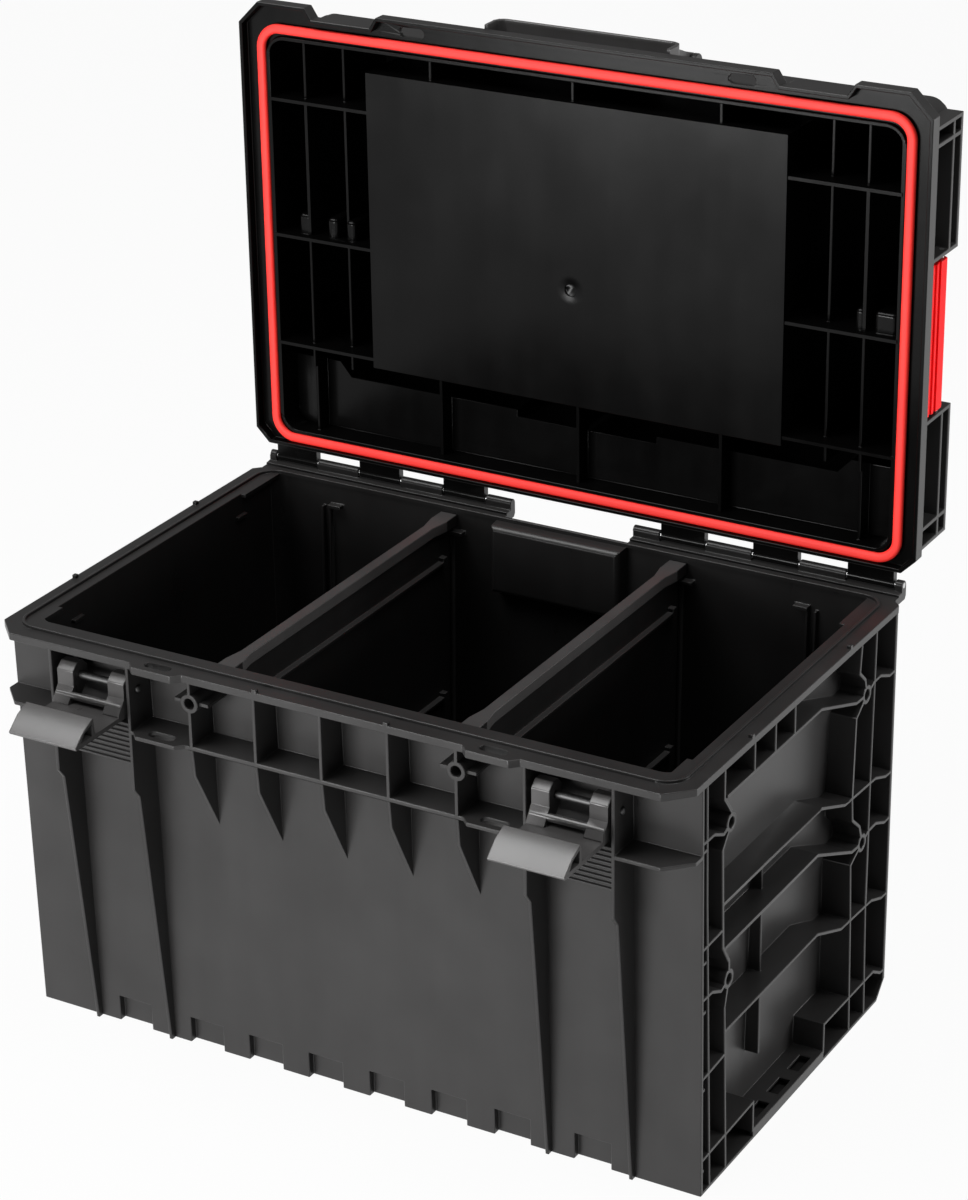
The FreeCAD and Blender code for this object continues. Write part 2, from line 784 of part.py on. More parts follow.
def base_shell():
    """Moulded tub with its rim, ribs, latch pockets and hinge knuckles."""
    right = side_ribs()
    front = [ledge(pocket_sides[1], half_width)]
    front += [band_rib(x) for x in band_ribs[1:]]
    front += [gusset(x) for x in band_ribs[1:]]
    front += [tall_rib(x) for x in pocket_sides]
    front += front_boss() + grip_panel() + foot_notch_wells()
    middle = [ledge(-pocket_sides[0], pocket_sides[0]), band_rib(0.0), gusset(0.0)]
    flange = prism_z(flange_outline(), flange_under, rim_height)
    outside = joined(tub_walls() + [flange] + middle + both_sides([right] + front))
    hollow = outside.cut(tub_cavity())
    inside = both_sides(guide_pair(divider_x) + guide_pair(spare_guide_x) + ledge_tabs())
    inside += both_sides([guide_rest(divider_x, side) for side in (-1, 1)] + [guide_rest(spare_guide_x, -1)])
    inside += both_sides(side_rests() + rim_nubs())
    inside += both_sides(foot_notch_wells()) + [back_swell(), tongue()]
    knuckles = both_sides([hinge_shelf()] + [base_knuckle(x0, x1) for x0, x1 in hinge_stretches()])
    shell = joined([hollow] + inside + knuckles)
    x = band_ribs[-1]
    cutters = both_sides(foot_notch_cutters() + [
        rod_y(x, front_boss_z, boss_bore_radius, -front_reach - 1, -front_reach + boss_bore_depth),
        slot_z(padlock_x, padlock_y, padlock_length, padlock_width, ledge_top - wall - 1, rim_height + 1),
        rod_x(latch_pin_y, latch_pin_z, latch_pin_radius, pocket_sides[0] - rib, pocket_sides[1] + rib),
    ] + [hinge_pin(x) for x in strap_places])
    return shell.cut(joined(cutters)).removeSplitter()


def divider():
    """Right divider plate with its top rail and ribs."""
    top = rim_height - divider_top_gap
    foot = wall + divider_floor_gap
    gap = wall + divider_end_gap
    half = divider_thickness / 2
    x = divider_x
    rail_foot = top - divider_rail_height
    heel = heel_chamfer + wall
    plate = prism_x([
        (front_face(foot) + gap, foot),
        (front_face(top) + gap, top),
        (back_face(top) - gap, top),
        (back_face(heel) - gap, heel),
        (back_face(0) - heel_chamfer - gap, foot),
    ], x - half, x + half)
    y0, y1 = front_face(rail_foot) + gap, back_face(rail_foot) - gap
    rail_half, end_half = divider_rail_width / 2, divider_rail_end_width / 2
    taper = divider_rail_end_length / 2
    long = divider_rail_end_length
    rail_outline = [
        (x - end_half, y0), (x + end_half, y0), (x + end_half, y0 + taper), (x + rail_half, y0 + long),
        (x + rail_half, y1 - long), (x + end_half, y1 - taper), (x + end_half, y1),
        (x - end_half, y1), (x - end_half, y1 - taper), (x - rail_half, y1 - long),
        (x - rail_half, y0 + long), (x - end_half, y0 + taper),
    ]
    shapes = [plate, prism_z(rail_outline, rail_foot, top)]
    margin = guide_depth + divider_rib_margin
    for z in [rim_height - drop for drop in divider_rib_drops]:
        side, end = x + half + divider_rib_depth, back_face(z) - margin
        shapes.append(box(x, side, front_face(z) + margin, end, z - rib / 2, z + rib / 2))
        shapes.append(box(x, side, end - divider_stop_length, end,
                          z - divider_stop_height / 2, z + divider_stop_height / 2))
    return joined(shapes)


def latch_lever():
    """Right latch lever in its open place, hung on its pin by two lugs."""
    x0, x1 = latch_x - latch_width / 2, latch_x + latch_width / 2
    top = -latch_pin_setback - latch_plate_clearance
    foot = top - latch_plate_thickness
    hook = -latch_pin_drop - catch_height - hook_gap
    nose = lid_setback + hook_overlap - latch_pin_setback
    end = hook - latch_lip_length
    skin = latch_plate_thickness
    lug = [(3, 11), (-4, 11), (-10, 6), (-10, -6), (top, top + 1), (top, foot), (-6, foot), (9, -6), (9, 5)]
    blade = [(-6, foot), (end + 1, foot), (end, foot + 2), (hook - latch_lip_length / 2, nose - 5),
             (hook, nose), (hook + 1, top), (-6, top)]
    hollow = [(hook - 2, nose - 4), (hook - latch_lip_length / 2, nose - 8), (end + 2 * skin, top), (hook - 2, top)]
    shapes = [latch_prism(blade, x0, x1).cut(latch_prism(hollow, x0 - 1, x1 + 1))]
    for start in (x0, x1 - latch_lug_width):
        shapes.append(latch_prism(lug, start, start + latch_lug_width))
    bar_y, bar_z = latch_pin_y + top * 0.64, latch_pin_z + top * 0.7
    shapes.append(rod_x(bar_y, bar_z, latch_bar_radius, x0 + 1, x1 - 1))
    bore = rod_x(latch_pin_y, latch_pin_z, latch_pin_radius + running_clearance, x0 - 1, x1 + 1)
    return joined(shapes).cut(bore)


def latch_prism(points, x0, x1):
    """Solid on a (y, z) outline counted from the right latch pin."""
    return prism_x([(latch_pin_y + a, latch_pin_z + b) for a, b in points], x0, x1)


def latch_pin():
    """Right latch pin, fast in the pocket walls."""
    end = rib / 2 + latch_pin_proud
    return rod_x(latch_pin_y, latch_pin_z, latch_pin_radius, pocket_sides[0] - end, pocket_sides[1] + end)


def hinge_pin(x):
    """Pin through the strap centred on x, fast in the base's knuckles on both sides."""
    reach = strap_width / 2 + strap_gap + hinge_pin_seat
    return rod_x(hinge_y, hinge_z, hinge_pin_radius, x - reach, min(x + reach, hinge_outer_end))


def lid_y(u):
    """Y of a point in front of the hinge axis, lid closed."""
    return hinge_y - u


def lid_z(w):
    """Z of a point over the rim, lid closed."""
    return rim_height + w


def lid_prism(points, x0, x1):
    """Solid on a (u, w) outline of the closed lid from x0 to x1."""
    return prism_x([(lid_y(u), lid_z(w)) for u, w in points], x0, x1)


def lid_box(x0, x1, u0, u1, w0, w1):
    """Block of the closed lid."""
    return box(x0, x1, lid_y(u1), lid_y(u0), lid_z(w0), lid_z(w1))


def opened(shape):
    """Turn a piece of the closed lid to its open place."""
    return shape.rotated(Vector(0, hinge_y, hinge_z), Vector(1, 0, 0), -90)


def lid_outline(inset):
    """Plan of the lid's flange, drawn in by an inset."""
    side = lid_half_width - inset
    tab = lid_tab_front - inset
    front = lid_front - inset
    rear = lid_rear + inset
    turn = inset * 0.414
    right = [
        (side - lid_rear_chamfer + turn, rear),
        (side, rear + lid_rear_chamfer - turn),
        (side, tab - lid_front_chamfer + turn),
        (side - lid_front_chamfer + turn, tab),
        (lid_corner_tab_start + turn, tab),
        (lid_corner_tab_start - lid_tab_slope + turn, front),
        (lid_mid_tab_half + lid_tab_slope - turn, front),
        (lid_mid_tab_half - turn, tab),
    ]
    return [(x, lid_y(u)) for x, u in right] + [(-x, lid_y(u)) for x, u in reversed(right)]


def lid_flange():
    """Lid flange with a skirt round its edge, open over the case."""
    under, top = lid_z(lid_flange_under), lid_z(lid_flange_under + lid_flange_thickness)
    plate = prism_z(lid_outline(0), under, top)
    skirt = prism_z(lid_outline(0), lid_z(seal_clearance), under + 1)
    skirt = skirt.cut(prism_z(lid_outline(lid_skirt), rim_height - 1, under + 2))
    return [plate, skirt]


def lid_block(inset, foot):
    """Outer block of the lid, or the space in it when drawn in by the wall."""
    side = lid_wall_x - inset
    front = lid_wall_front - inset
    shelf = rear_shelf_height - inset
    rear = lid_wall_rear + inset
    slant_x = lid_wall_x - rear_corner_inset - inset / 2
    right = [
        (rear_bay_half_width - inset, rear + rear_bay_length),
        (rear_bay_half_width - inset, rear + rear_shelf_length),
        (slant_x, rear + rear_shelf_length),
        (slant_x + rear_corner_slant, rear + rear_corner_length),
        (side, rear + rear_corner_length),
        (side, front),
    ]
    plan = [(x, lid_y(u)) for x, u in right] + [(-x, lid_y(u)) for x, u in reversed(right)]
    radius = lid_corner_radius - inset
    low = rounded_slab(-side, side, lid_y(front), lid_y(rear), radius, lid_z(foot), lid_z(shelf))
    high = prism_z(plan, lid_z(foot), lid_z(lid_height - inset))
    ends = [e for e in high.Edges if all(abs(v.X) > side - 0.01 and v.Y < lid_y(front) + 0.01
                                         for v in e.Vertexes)]
    corners = [e for e in ends if e.Vertexes[0].X * e.Vertexes[-1].X > 0]
    return low.fuse(high.makeFillet(radius, corners))


def lid_walls():
    """Lid body: its box with a low rear, and the block of the deep well."""
    outer = joined([lid_block(0, lid_lip_gap)] + lid_flange())
    shell = outer.cut(lid_block(wall, -reach_past))
    well = lid_box(-well_half_width, well_half_width, well_rear, well_front, well_gap, lid_height)
    return [shell, well]


def well_space():
    """Space of the well in the lid's top and the gate mark under its plate."""
    space = lid_box(-well_half_width + wall, well_half_width - wall, well_rear + wall,
                    well_front - wall, well_gap + wall, lid_height + 1)
    middle = lid_y((lid_wall_front + lid_wall_rear) / 2)
    mark = Part.makeCylinder(gate_mark_radius, gate_mark_depth, Vector(0, middle, lid_z(well_gap)))
    return [space, mark]


def lid_ribs():
    """Stiffening ribs inside the lid round the well."""
    roof = lid_height - wall / 2
    half = rib / 2
    side = lid_wall_x - wall / 2
    front = lid_wall_front - wall / 2
    rear = lid_wall_rear + wall / 2
    edge = well_half_width - wall / 2
    shapes = []
    for u in lid_cross_ribs:
        shapes.append(lid_box(edge, side, u - half, u + half, lid_cross_rib_gap, roof))
    corner = lid_wall_rear + rear_corner_length
    for inset, gap in ((lid_post_inset, lid_post_gap), (lid_inner_post_inset, lid_inner_post_gap)):
        x = lid_wall_x - inset
        shapes.append(lid_box(x - half, x + half, corner + wall / 2, front, gap, roof))
    x = lid_wall_x - lid_post_inset
    shapes.append(lid_box(x - half, x + half, rear, corner + wall, lid_rear_tie_gap,
                          rear_shelf_height - wall / 2))
    shapes = both_sides(shapes)
    shapes += [clip_ridge(lid_wall_x + offset, width) for offset, width in right_ridges]
    shapes += [mirrored(clip_ridge(lid_wall_x + offset, width)) for offset, width in left_ridges]
    for x in lid_tie_places:
        shapes.append(lid_box(x - half, x + half, well_front - wall / 2, front, lid_front_tie_gap, roof))
        shapes.append(lid_box(x - half, x + half, rear, well_rear + wall / 2, lid_rear_tie_gap,
                              rear_shelf_height - wall / 2))
        shapes.append(lid_box(x - half, x + half, lid_wall_rear + rear_shelf_length, well_rear + wall / 2,
                              rear_shelf_height - wall, roof))
    return shapes


def clip_ridge(x, width):
    """Rounded ridge that stands on the middle cross rib and runs back to the lid's roof."""
    u = lid_cross_ribs[1]
    crest, front = u + ridge_rise, lid_z(ridge_gap)
    ridge = lid_box(x - width / 2, x + width / 2, u, crest, ridge_gap, lid_height - wall / 2)
    round_edges = []
    for edge in ridge.Edges:
        on_front = [v.Z < front + 0.01 for v in edge.Vertexes]
        on_crest = [v.Y < lid_y(crest) + 0.01 for v in edge.Vertexes]
        if all(on_front) and any(on_crest) or all(on_crest) and any(on_front):
            round_edges.append(edge)
    return ridge.makeFillet(ridge_radius, round_edges)


def stacking_block(span, web):
    """Open frame on the right side of the lid that locates a stacked case."""
    u0, u1 = span
    half = block_wall / 2
    block = lid_box(lid_wall_x - wall, block_x, u0, u1, block_foot - 1, block_height)
    pockets = []
    for a, b in ((u0 + block_wall, web - half), (web + half, u1 - block_wall)):
        for low, high in ((block_foot + block_wall, block_shelf - half),
                          (block_shelf + half, block_height - block_wall)):
            pockets.append(lid_box(lid_wall_x, block_x + 1, a, b, low, high))
    return block.cut(joined(pockets))


def latch_catch():
    """Lip on the lid's front that the right latch hooks over."""
    x0, x1 = latch_x - catch_half_width, latch_x + catch_half_width
    root = lid_wall_front - wall / 2
    return [
        lid_box(x0, x1, root, lid_front, catch_height - wall, catch_height),
        lid_box(x0, x1, lid_front - wall, lid_front, lid_flange_under, catch_height),
    ]


def handle_ear():
    """Ear on the lid's front wall that holds the right handle pin."""
    x0, x1 = handle_ear_x, handle_ear_x + handle_ear_width
    root = lid_wall_front - wall / 2
    arm = lid_box(x0, x1, root, handle_pivot_u, handle_pivot_w - handle_eye_radius,
                  handle_pivot_w + handle_eye_radius)
    return arm.fuse(handle_rod(handle_eye_radius, x0, x1))


def lid_strap(x):
    """Hinge strap and knuckle of the lid."""
    x0, x1 = x - strap_width / 2, x + strap_width / 2
    plate = lid_box(x0, x1, 0, lid_rear + lid_skirt, hinge_rise - wall, hinge_rise + wall)
    return plate.fuse(rod_x(hinge_y, hinge_z, knuckle_radius, x0, x1))


def lid_shell():
    """Moulded lid with its ribs, stacking blocks, catches, ears and hinge straps."""
    right = [
        stacking_block(front_block, front_block[1] - front_block_web_inset),
        stacking_block(rear_block, rear_block[0] + rear_block_web_inset),
    ]
    right += [handle_ear()] + latch_catch() + [lid_strap(x) for x in strap_places]
    shell = joined(lid_walls() + lid_ribs() + both_sides(right))
    cutters = both_sides([
        slot_z(padlock_x, padlock_y, padlock_length, padlock_width, rim_height - 1,
               lid_z(lid_flange_under + lid_flange_thickness + 1)),
        rod_x(hinge_y, hinge_z, hinge_pin_radius + running_clearance, hinge_inner_end, half_width),
        handle_rod(handle_pin_radius, handle_arm_x, handle_ear_x + handle_ear_width + 1),
        stack_pin(),
    ])
    return shell.cut(joined(cutters + well_space())).removeSplitter()


def lid_seal():
    """Seal bead in the lid's channel, over the tongue."""
    half, side = seal_width / 2, tongue_half_width
    foot, top = lid_z(tongue_height + seal_clearance), lid_z(lid_flange_under)
    ring = rounded_slab(-side - half, side + half, -tongue_front - half, tongue_back + half,
                        tongue_radius + half, foot, top)
    ring = ring.cut(rounded_slab(-side + half, side - half, -tongue_front + half, tongue_back - half,
                                 tongue_radius - half, foot - 1, top + 1))
    crown = [e for e in ring.Edges if all(v.Z < foot + 0.01 for v in e.Vertexes)]
    return ring.makeFillet(seal_crown_radius, crown)


def handle_rod(radius, x0, x1):
    """Cylinder along the handle's pivot."""
    return rod_x(lid_y(handle_pivot_u), lid_z(handle_pivot_w), radius, x0, x1)


def handle_block(inset, u0, u1, foot):
    """Block of the handle's grip, drawn in by an inset, with two round corners."""
    half, top = handle_half_length - inset, handle_top - inset
    block = lid_box(-half, half, u0, u1, foot, top)
    corners = [e for e in block.Edges if all(v.Z > lid_z(top) - 0.01 for v in e.Vertexes)
               and abs(e.Vertexes[0].X - e.Vertexes[-1].X) < 0.01]
    return block.makeFillet(handle_corner_radius - inset, corners)


def carry_handle():
    """Folding handle with a hollow grip, lying against the lid's front wall."""
    grip = handle_block(0, handle_back, handle_face, handle_foot)
    hollow = handle_block(handle_skin, handle_back + handle_skin, handle_face + 1, handle_foot - 1)
    x0, x1 = handle_arm_x - handle_arm_width, handle_arm_x
    reach = handle_eye_radius * 0.7
    root = handle_top - handle_skin
    arm = lid_prism([
        (handle_back, root),
        (handle_back + handle_arm_thickness, root),
        (handle_pivot_u + reach, handle_pivot_w + reach),
        (handle_pivot_u - reach, handle_pivot_w - reach),
    ], x0, x1)
    shape = joined([grip.cut(hollow)] + both_sides([arm, handle_rod(handle_eye_radius, x0, x1)]))
    return shape.cut(handle_rod(handle_pin_radius + running_clearance, -x1 - 1, x1 + 1))


def handle_pin():
    """Right handle pin, fast in its ear."""
    return handle_rod(handle_pin_radius, handle_arm_x - handle_arm_width, handle_ear_x + handle_ear_width)


def stack_pin_span():
    """Ends of a side latch pin, seated in the stacking blocks."""
    return rear_block[1] - block_wall, front_block[0] + block_wall


def rod_u(radius, u0, u1):
    """Cylinder along the right side latch's pivot."""
    return Part.makeCylinder(radius, u1 - u0, Vector(stack_pivot_x, lid_y(u1), lid_z(stack_pivot_w)),
                             Vector(0, 1, 0))


def stack_latch():
    """Right side latch that holds a stacked case."""
    u0, u1 = rear_block[1] + stack_latch_gap, front_block[0] - stack_latch_gap
    outer = stack_pivot_x + stack_knuckle_radius
    inner = outer - stack_latch_thickness
    foot = stack_latch_foot
    section = [
        (inner, stack_pivot_w), (outer, stack_pivot_w), (outer, foot), (inner - stack_latch_hook, foot),
        (inner - stack_latch_hook, foot + stack_latch_hook_height), (inner, foot + 2 * stack_latch_hook_height),
    ]
    plate = prism_y([(x, lid_z(w)) for x, w in section], lid_y(u1), lid_y(u0))
    shape = plate.fuse(rod_u(stack_knuckle_radius, u0, u1))
    cutters = [rod_u(stack_pin_radius + running_clearance, u0 - 1, u1 + 1)]
    first = foot + stack_groove_width
    last = stack_pivot_w - stack_knuckle_radius - stack_groove_width
    count = int((last - first) / stack_groove_pitch) + 1
    for i in range(count):
        w = first + i * stack_groove_pitch
        cutters.append(lid_box(outer - stack_groove_depth, outer + 1, u0 - 1, u1 + 1,
                               w, w + stack_groove_width))
    return shape.cut(joined(cutters)).removeSplitter()


def stack_pin():
    """Right side latch pin."""
    return rod_u(stack_pin_radius, *stack_pin_span())


def named_pair(name, shape):
    """Right and left copies of a piece under one name."""
    return {name + "_right": shape, name + "_left": mirrored(shape)}


def all_parts():
    """Every piece of the case by name, in its resting place."""
    pieces = {
        "base_shell": base_shell(),
        "lid_shell": opened(lid_shell()),
        "lid_seal": opened(lid_seal()),
        "carry_handle": opened(carry_handle()),
    }
    pieces["divider_right"] = divider()
    pieces["divider_left"] = divider().translated(Vector(-2 * divider_x, 0, 0))
    pieces.update(named_pair("latch_lever", latch_lever()))
    pieces.update(named_pair("latch_pin", latch_pin()))
    for place, x in zip(("inner", "middle", "outer"), strap_places):
        pieces.update(named_pair("hinge_pin_" + place, hinge_pin(x)))
    pieces.update(named_pair("handle_pin", opened(handle_pin())))
    pieces.update(named_pair("stack_latch", opened(stack_latch())))
    pieces.update(named_pair("stack_latch_pin", opened(stack_pin())))
    return pieces


os.makedirs("parts", exist_ok=True)
for name, shape in all_parts().items():
    print(name, len(shape.Solids), "solid", round(shape.Volume / 1000, 2), "cm3", shape.isValid())
    shape.exportStep("parts/" + name + ".step")
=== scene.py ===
"""Dresses an open tool case: bevelled mouldings, a swept seal, domed pins and their finishes."""

import json
import logging
import math
from dataclasses import dataclass, field
from enum import Enum
from typing import Any, Iterable, Iterator, Sequence

import bmesh
import bpy
from mathutils import Matrix, Vector
from mathutils.bvhtree import BVHTree
from mathutils.kdtree import KDTree

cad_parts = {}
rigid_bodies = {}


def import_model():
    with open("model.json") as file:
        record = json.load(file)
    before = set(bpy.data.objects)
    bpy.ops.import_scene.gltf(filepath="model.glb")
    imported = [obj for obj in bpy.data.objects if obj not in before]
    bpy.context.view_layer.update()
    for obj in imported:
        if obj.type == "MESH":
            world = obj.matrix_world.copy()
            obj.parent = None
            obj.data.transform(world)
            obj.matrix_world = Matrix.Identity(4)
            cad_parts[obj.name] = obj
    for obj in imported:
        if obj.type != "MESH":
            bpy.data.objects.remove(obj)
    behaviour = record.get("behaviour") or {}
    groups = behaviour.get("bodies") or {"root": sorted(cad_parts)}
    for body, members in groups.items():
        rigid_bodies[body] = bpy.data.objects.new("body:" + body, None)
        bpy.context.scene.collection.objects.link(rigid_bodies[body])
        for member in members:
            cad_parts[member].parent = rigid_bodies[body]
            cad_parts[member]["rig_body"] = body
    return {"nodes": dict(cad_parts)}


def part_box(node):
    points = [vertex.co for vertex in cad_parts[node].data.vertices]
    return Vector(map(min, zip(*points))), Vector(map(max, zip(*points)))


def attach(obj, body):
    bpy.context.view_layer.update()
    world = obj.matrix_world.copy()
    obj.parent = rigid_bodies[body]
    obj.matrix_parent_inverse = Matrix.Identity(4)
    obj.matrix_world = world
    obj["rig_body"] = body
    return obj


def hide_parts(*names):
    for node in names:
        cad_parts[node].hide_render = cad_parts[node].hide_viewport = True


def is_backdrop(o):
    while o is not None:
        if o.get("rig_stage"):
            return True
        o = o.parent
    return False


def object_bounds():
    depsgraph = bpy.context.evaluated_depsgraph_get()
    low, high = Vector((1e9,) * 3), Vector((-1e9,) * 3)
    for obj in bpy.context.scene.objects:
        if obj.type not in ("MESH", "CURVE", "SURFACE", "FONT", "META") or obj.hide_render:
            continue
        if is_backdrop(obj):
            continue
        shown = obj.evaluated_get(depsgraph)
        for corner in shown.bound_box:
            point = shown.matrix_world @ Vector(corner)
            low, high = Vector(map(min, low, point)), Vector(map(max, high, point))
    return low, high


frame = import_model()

LOG = logging.getLogger("tool_case")
MM = 0.001
CAD_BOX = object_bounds()

Point = tuple[float, float, float]
Colour = tuple[float, float, float, float]
Span = tuple[float, float]
Settings = dict[str, Any]
Sockets = dict[int | str, Any]
Flat = list[bmesh.types.BMFace]

PAST_COSINE = 1.1  # more than any cosine: a limit that no face reaches


class Slot(Enum):
    """Material slots of the record."""

    PLASTIC = "black_plastic"
    RUBBER = "red_rubber"
    RED = "red_plastic"
    STEEL = "steel"


class Side(Enum):
    """Sides of the case as seen from the front, as the nodes write them."""

    RIGHT = "right"
    LEFT = "left"


def tinted(value: float, tint: Point) -> Colour:
    """Opaque colour of one linear value times a tint."""
    return (value * tint[0], value * tint[1], value * tint[2], 1.0)


def grey(value: float) -> Colour:
    """Opaque grey of one linear value."""
    return tinted(value, (1.0, 1.0, 1.0))


def added(name: str, data: bpy.types.ID) -> bpy.types.Object:
    """Adds an object to the scene.

    Args:
        name: Name of the object.
        data: Its mesh, lamp or lens.

    Returns:
        The object.
    """
    made = bpy.data.objects.new(name, data)
    bpy.context.scene.collection.objects.link(made)
    return made


def dress(piece: bpy.types.Object, *materials: bpy.types.Material) -> None:
    """Gives a piece its materials, in the order of their indices.

    Args:
        piece: Mesh object.
        materials: Its materials.
    """
    piece.data.materials.clear()
    for material in materials:
        piece.data.materials.append(material)


def seat(piece: bpy.types.Object, node: str, slot: Slot) -> None:
    """Sets a piece on its body in a node's place.

    Args:
        piece: The finished piece.
        node: Node that it stands for.
        slot: Slot of the record; not used.
    """
    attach(piece, frame["nodes"][node]["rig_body"])
    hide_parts(node)


def apply_modifiers(piece: bpy.types.Object) -> None:
    """Turns a piece with modifiers into a plain mesh.

    Args:
        piece: Object whose modifiers are made part of its mesh.
    """
    graph = bpy.context.evaluated_depsgraph_get()
    graph.update()
    mesh = bpy.data.meshes.new_from_object(piece.evaluated_get(graph))
    piece.modifiers.clear()
    piece.data = mesh


@dataclass(frozen=True)
class Pattern:
    """A noise on a surface, and what it does there.

    waves are per metre, detail counts octaves and fineness weighs the finer ones. tone is the
    noise's share of the colour, and rough is how far it carries the roughness from end to end.
    """

    waves: float
    detail: float = 2.0
    fineness: float = 0.5
    stretch: Point | None = None
    tone: float = 0.0
    rough: float = 0.0


@dataclass(frozen=True)
class Relief:
    """A bump: the height in metres of a full value, and how much of it shows."""

    height: float
    strength: float = 1.0


def least_rough(middle: float, *patterns: Pattern) -> float:
    """Roughness where every pattern is at 0, for a middle where each is at a half."""
    return middle - sum(pattern.rough for pattern in patterns) / 2


class Value:
    """A shader socket that takes part in Python arithmetic."""

    def __init__(self, tree: "ShaderTree", socket: bpy.types.NodeSocket) -> None:
        """Keeps the socket and the tree that it belongs to."""
        self.tree = tree
        self.socket = socket

    def _math(self, operation: str, other: "Value | float") -> "Value":
        """Adds a Math node for this value and another one or a number."""
        return self.tree.value("ShaderNodeMath", 0, {"operation": operation}, {0: self, 1: other})

    def __add__(self, other: "Value | float") -> "Value":
        """Sum."""
        return self._math("ADD", other)

    def __mul__(self, other: "Value | float") -> "Value":
        """Product."""
        return self._math("MULTIPLY", other)

    def at_least(self, other: "Value | float") -> "Value":
        """The larger of two values."""
        return self._math("MAXIMUM", other)

    __radd__ = __add__
    __rmul__ = __mul__


class NodeBuilder:
    """Adds nodes to one tree."""

    def __init__(self, tree: bpy.types.NodeTree) -> None:
        """Keeps the tree."""
        self.tree = tree

    def node(self, kind: str, settings: Settings | None = None,
             sockets: Sockets | None = None) -> bpy.types.Node:
        """Adds a node.

        Args:
            kind: Blender's type name of the node.
            settings: Properties that are set first; "stops" fills a colour ramp.
            sockets: Values, sockets or numbers by input name or place.

        Returns:
            The new node.
        """
        made = self.tree.nodes.new(kind)
        for key, value in (settings or {}).items():
            if key == "stops":
                self._fill_ramp(made.color_ramp, value)
            else:
                setattr(made, key, value)
        for key, value in (sockets or {}).items():
            source = value.socket if isinstance(value, Value) else value
            if isinstance(source, bpy.types.NodeSocket):
                self.tree.links.new(source, made.inputs[key])
            else:
                made.inputs[key].default_value = source
        return made

    @staticmethod
    def _fill_ramp(ramp: bpy.types.ColorRamp, stops: Iterable[tuple[float, Colour]]) -> None:
        """Writes the two stops of a new colour ramp.

        Args:
            ramp: The ramp.
            stops: Places and colours, from low to high.
        """
        for element, (place, colour) in zip(ramp.elements, stops):
            element.position = place
            element.color = colour


class ShaderTree(NodeBuilder):
    """Builds one material's node tree."""

    def __init__(self, name: str) -> None:
        """Starts an empty tree with an output.

        Args:
            name: Name of the material.
        """
        self.material = bpy.data.materials.new(name)
        self.material.use_nodes = True
        super().__init__(self.material.node_tree)
        self.tree.nodes.clear()
        self.output = self.node("ShaderNodeOutputMaterial")

    def value(self, kind: str, output: int | str, settings: Settings | None = None,
              sockets: Sockets | None = None) -> Value:
        """Adds a node and wraps one of its outputs, by name or place."""
        return Value(self, self.node(kind, settings, sockets).outputs[output])

    def place(self) -> Value:
        """Object coordinates, in metres."""
        return self.value("ShaderNodeTexCoord", "Object")

    def noise(self, place: Value, pattern: Pattern) -> Value:
        """Noise between 0 and 1.

        Args:
            place: Coordinates that it reads.
            pattern: Its waves and their stretch.

        Returns:
            The noise's value.
        """
        if pattern.stretch is not None:
            place = self.value("ShaderNodeMapping", 0, None,
                               {"Vector": place, "Scale": pattern.stretch})
        return self.value("ShaderNodeTexNoise", 0, None, {
            "Vector": place, "Scale": pattern.waves, "Detail": pattern.detail,
            "Roughness": pattern.fineness,
        })

    def distance(self, place: Value, centre: Point, reach: float) -> Value:
        """Distance from a point, eased from 0 there to 1 at the reach.

        Args:
            place: Coordinates that it reads.
            centre: The point.
            reach: Distance in metres that gives 1.

        Returns:
            The eased distance.
        """
        away = self.value("ShaderNodeVectorMath", "Value", {"operation": "DISTANCE"},
                          {0: place, 1: centre})
        return self.value("ShaderNodeMapRange", 0, {"interpolation_type": "SMOOTHSTEP"},
                          {"Value": away, "From Max": reach})

    def ramp(self, value: Value, span: Span, colours: Sequence[Colour]) -> bpy.types.NodeSocket:
        """Colour that goes from one to another over a span of a value."""
        stops = tuple(zip(span, colours))
        return self.node("ShaderNodeValToRGB", {"stops": stops}, {0: value}).outputs[0]

    def bump(self, height: Value, relief: Relief,
             under: bpy.types.NodeSocket | None = None) -> bpy.types.NodeSocket:
        """Bump from a height.

        Args:
            height: Height between 0 and 1.
            relief: How high and how strong it is.
            under: Normal that it is laid on.

        Returns:
            The normal socket.
        """
        sockets = {"Height": height, "Strength": relief.strength, "Distance": relief.height}
        if under is not None:
            sockets["Normal"] = under
        return self.node("ShaderNodeBump", None, sockets).outputs[0]

    def finish(self, shader: bpy.types.Node) -> bpy.types.Material:
        """Links the shader's first output to the surface and gives the material."""
        self.tree.links.new(shader.outputs[0], self.output.inputs["Surface"])
        return self.material

    def principled(self, sockets: Sockets) -> bpy.types.Material:
        """Ends the tree in a Principled shader and gives the material."""
        return self.finish(self.node("ShaderNodeBsdfPrincipled", None, sockets))


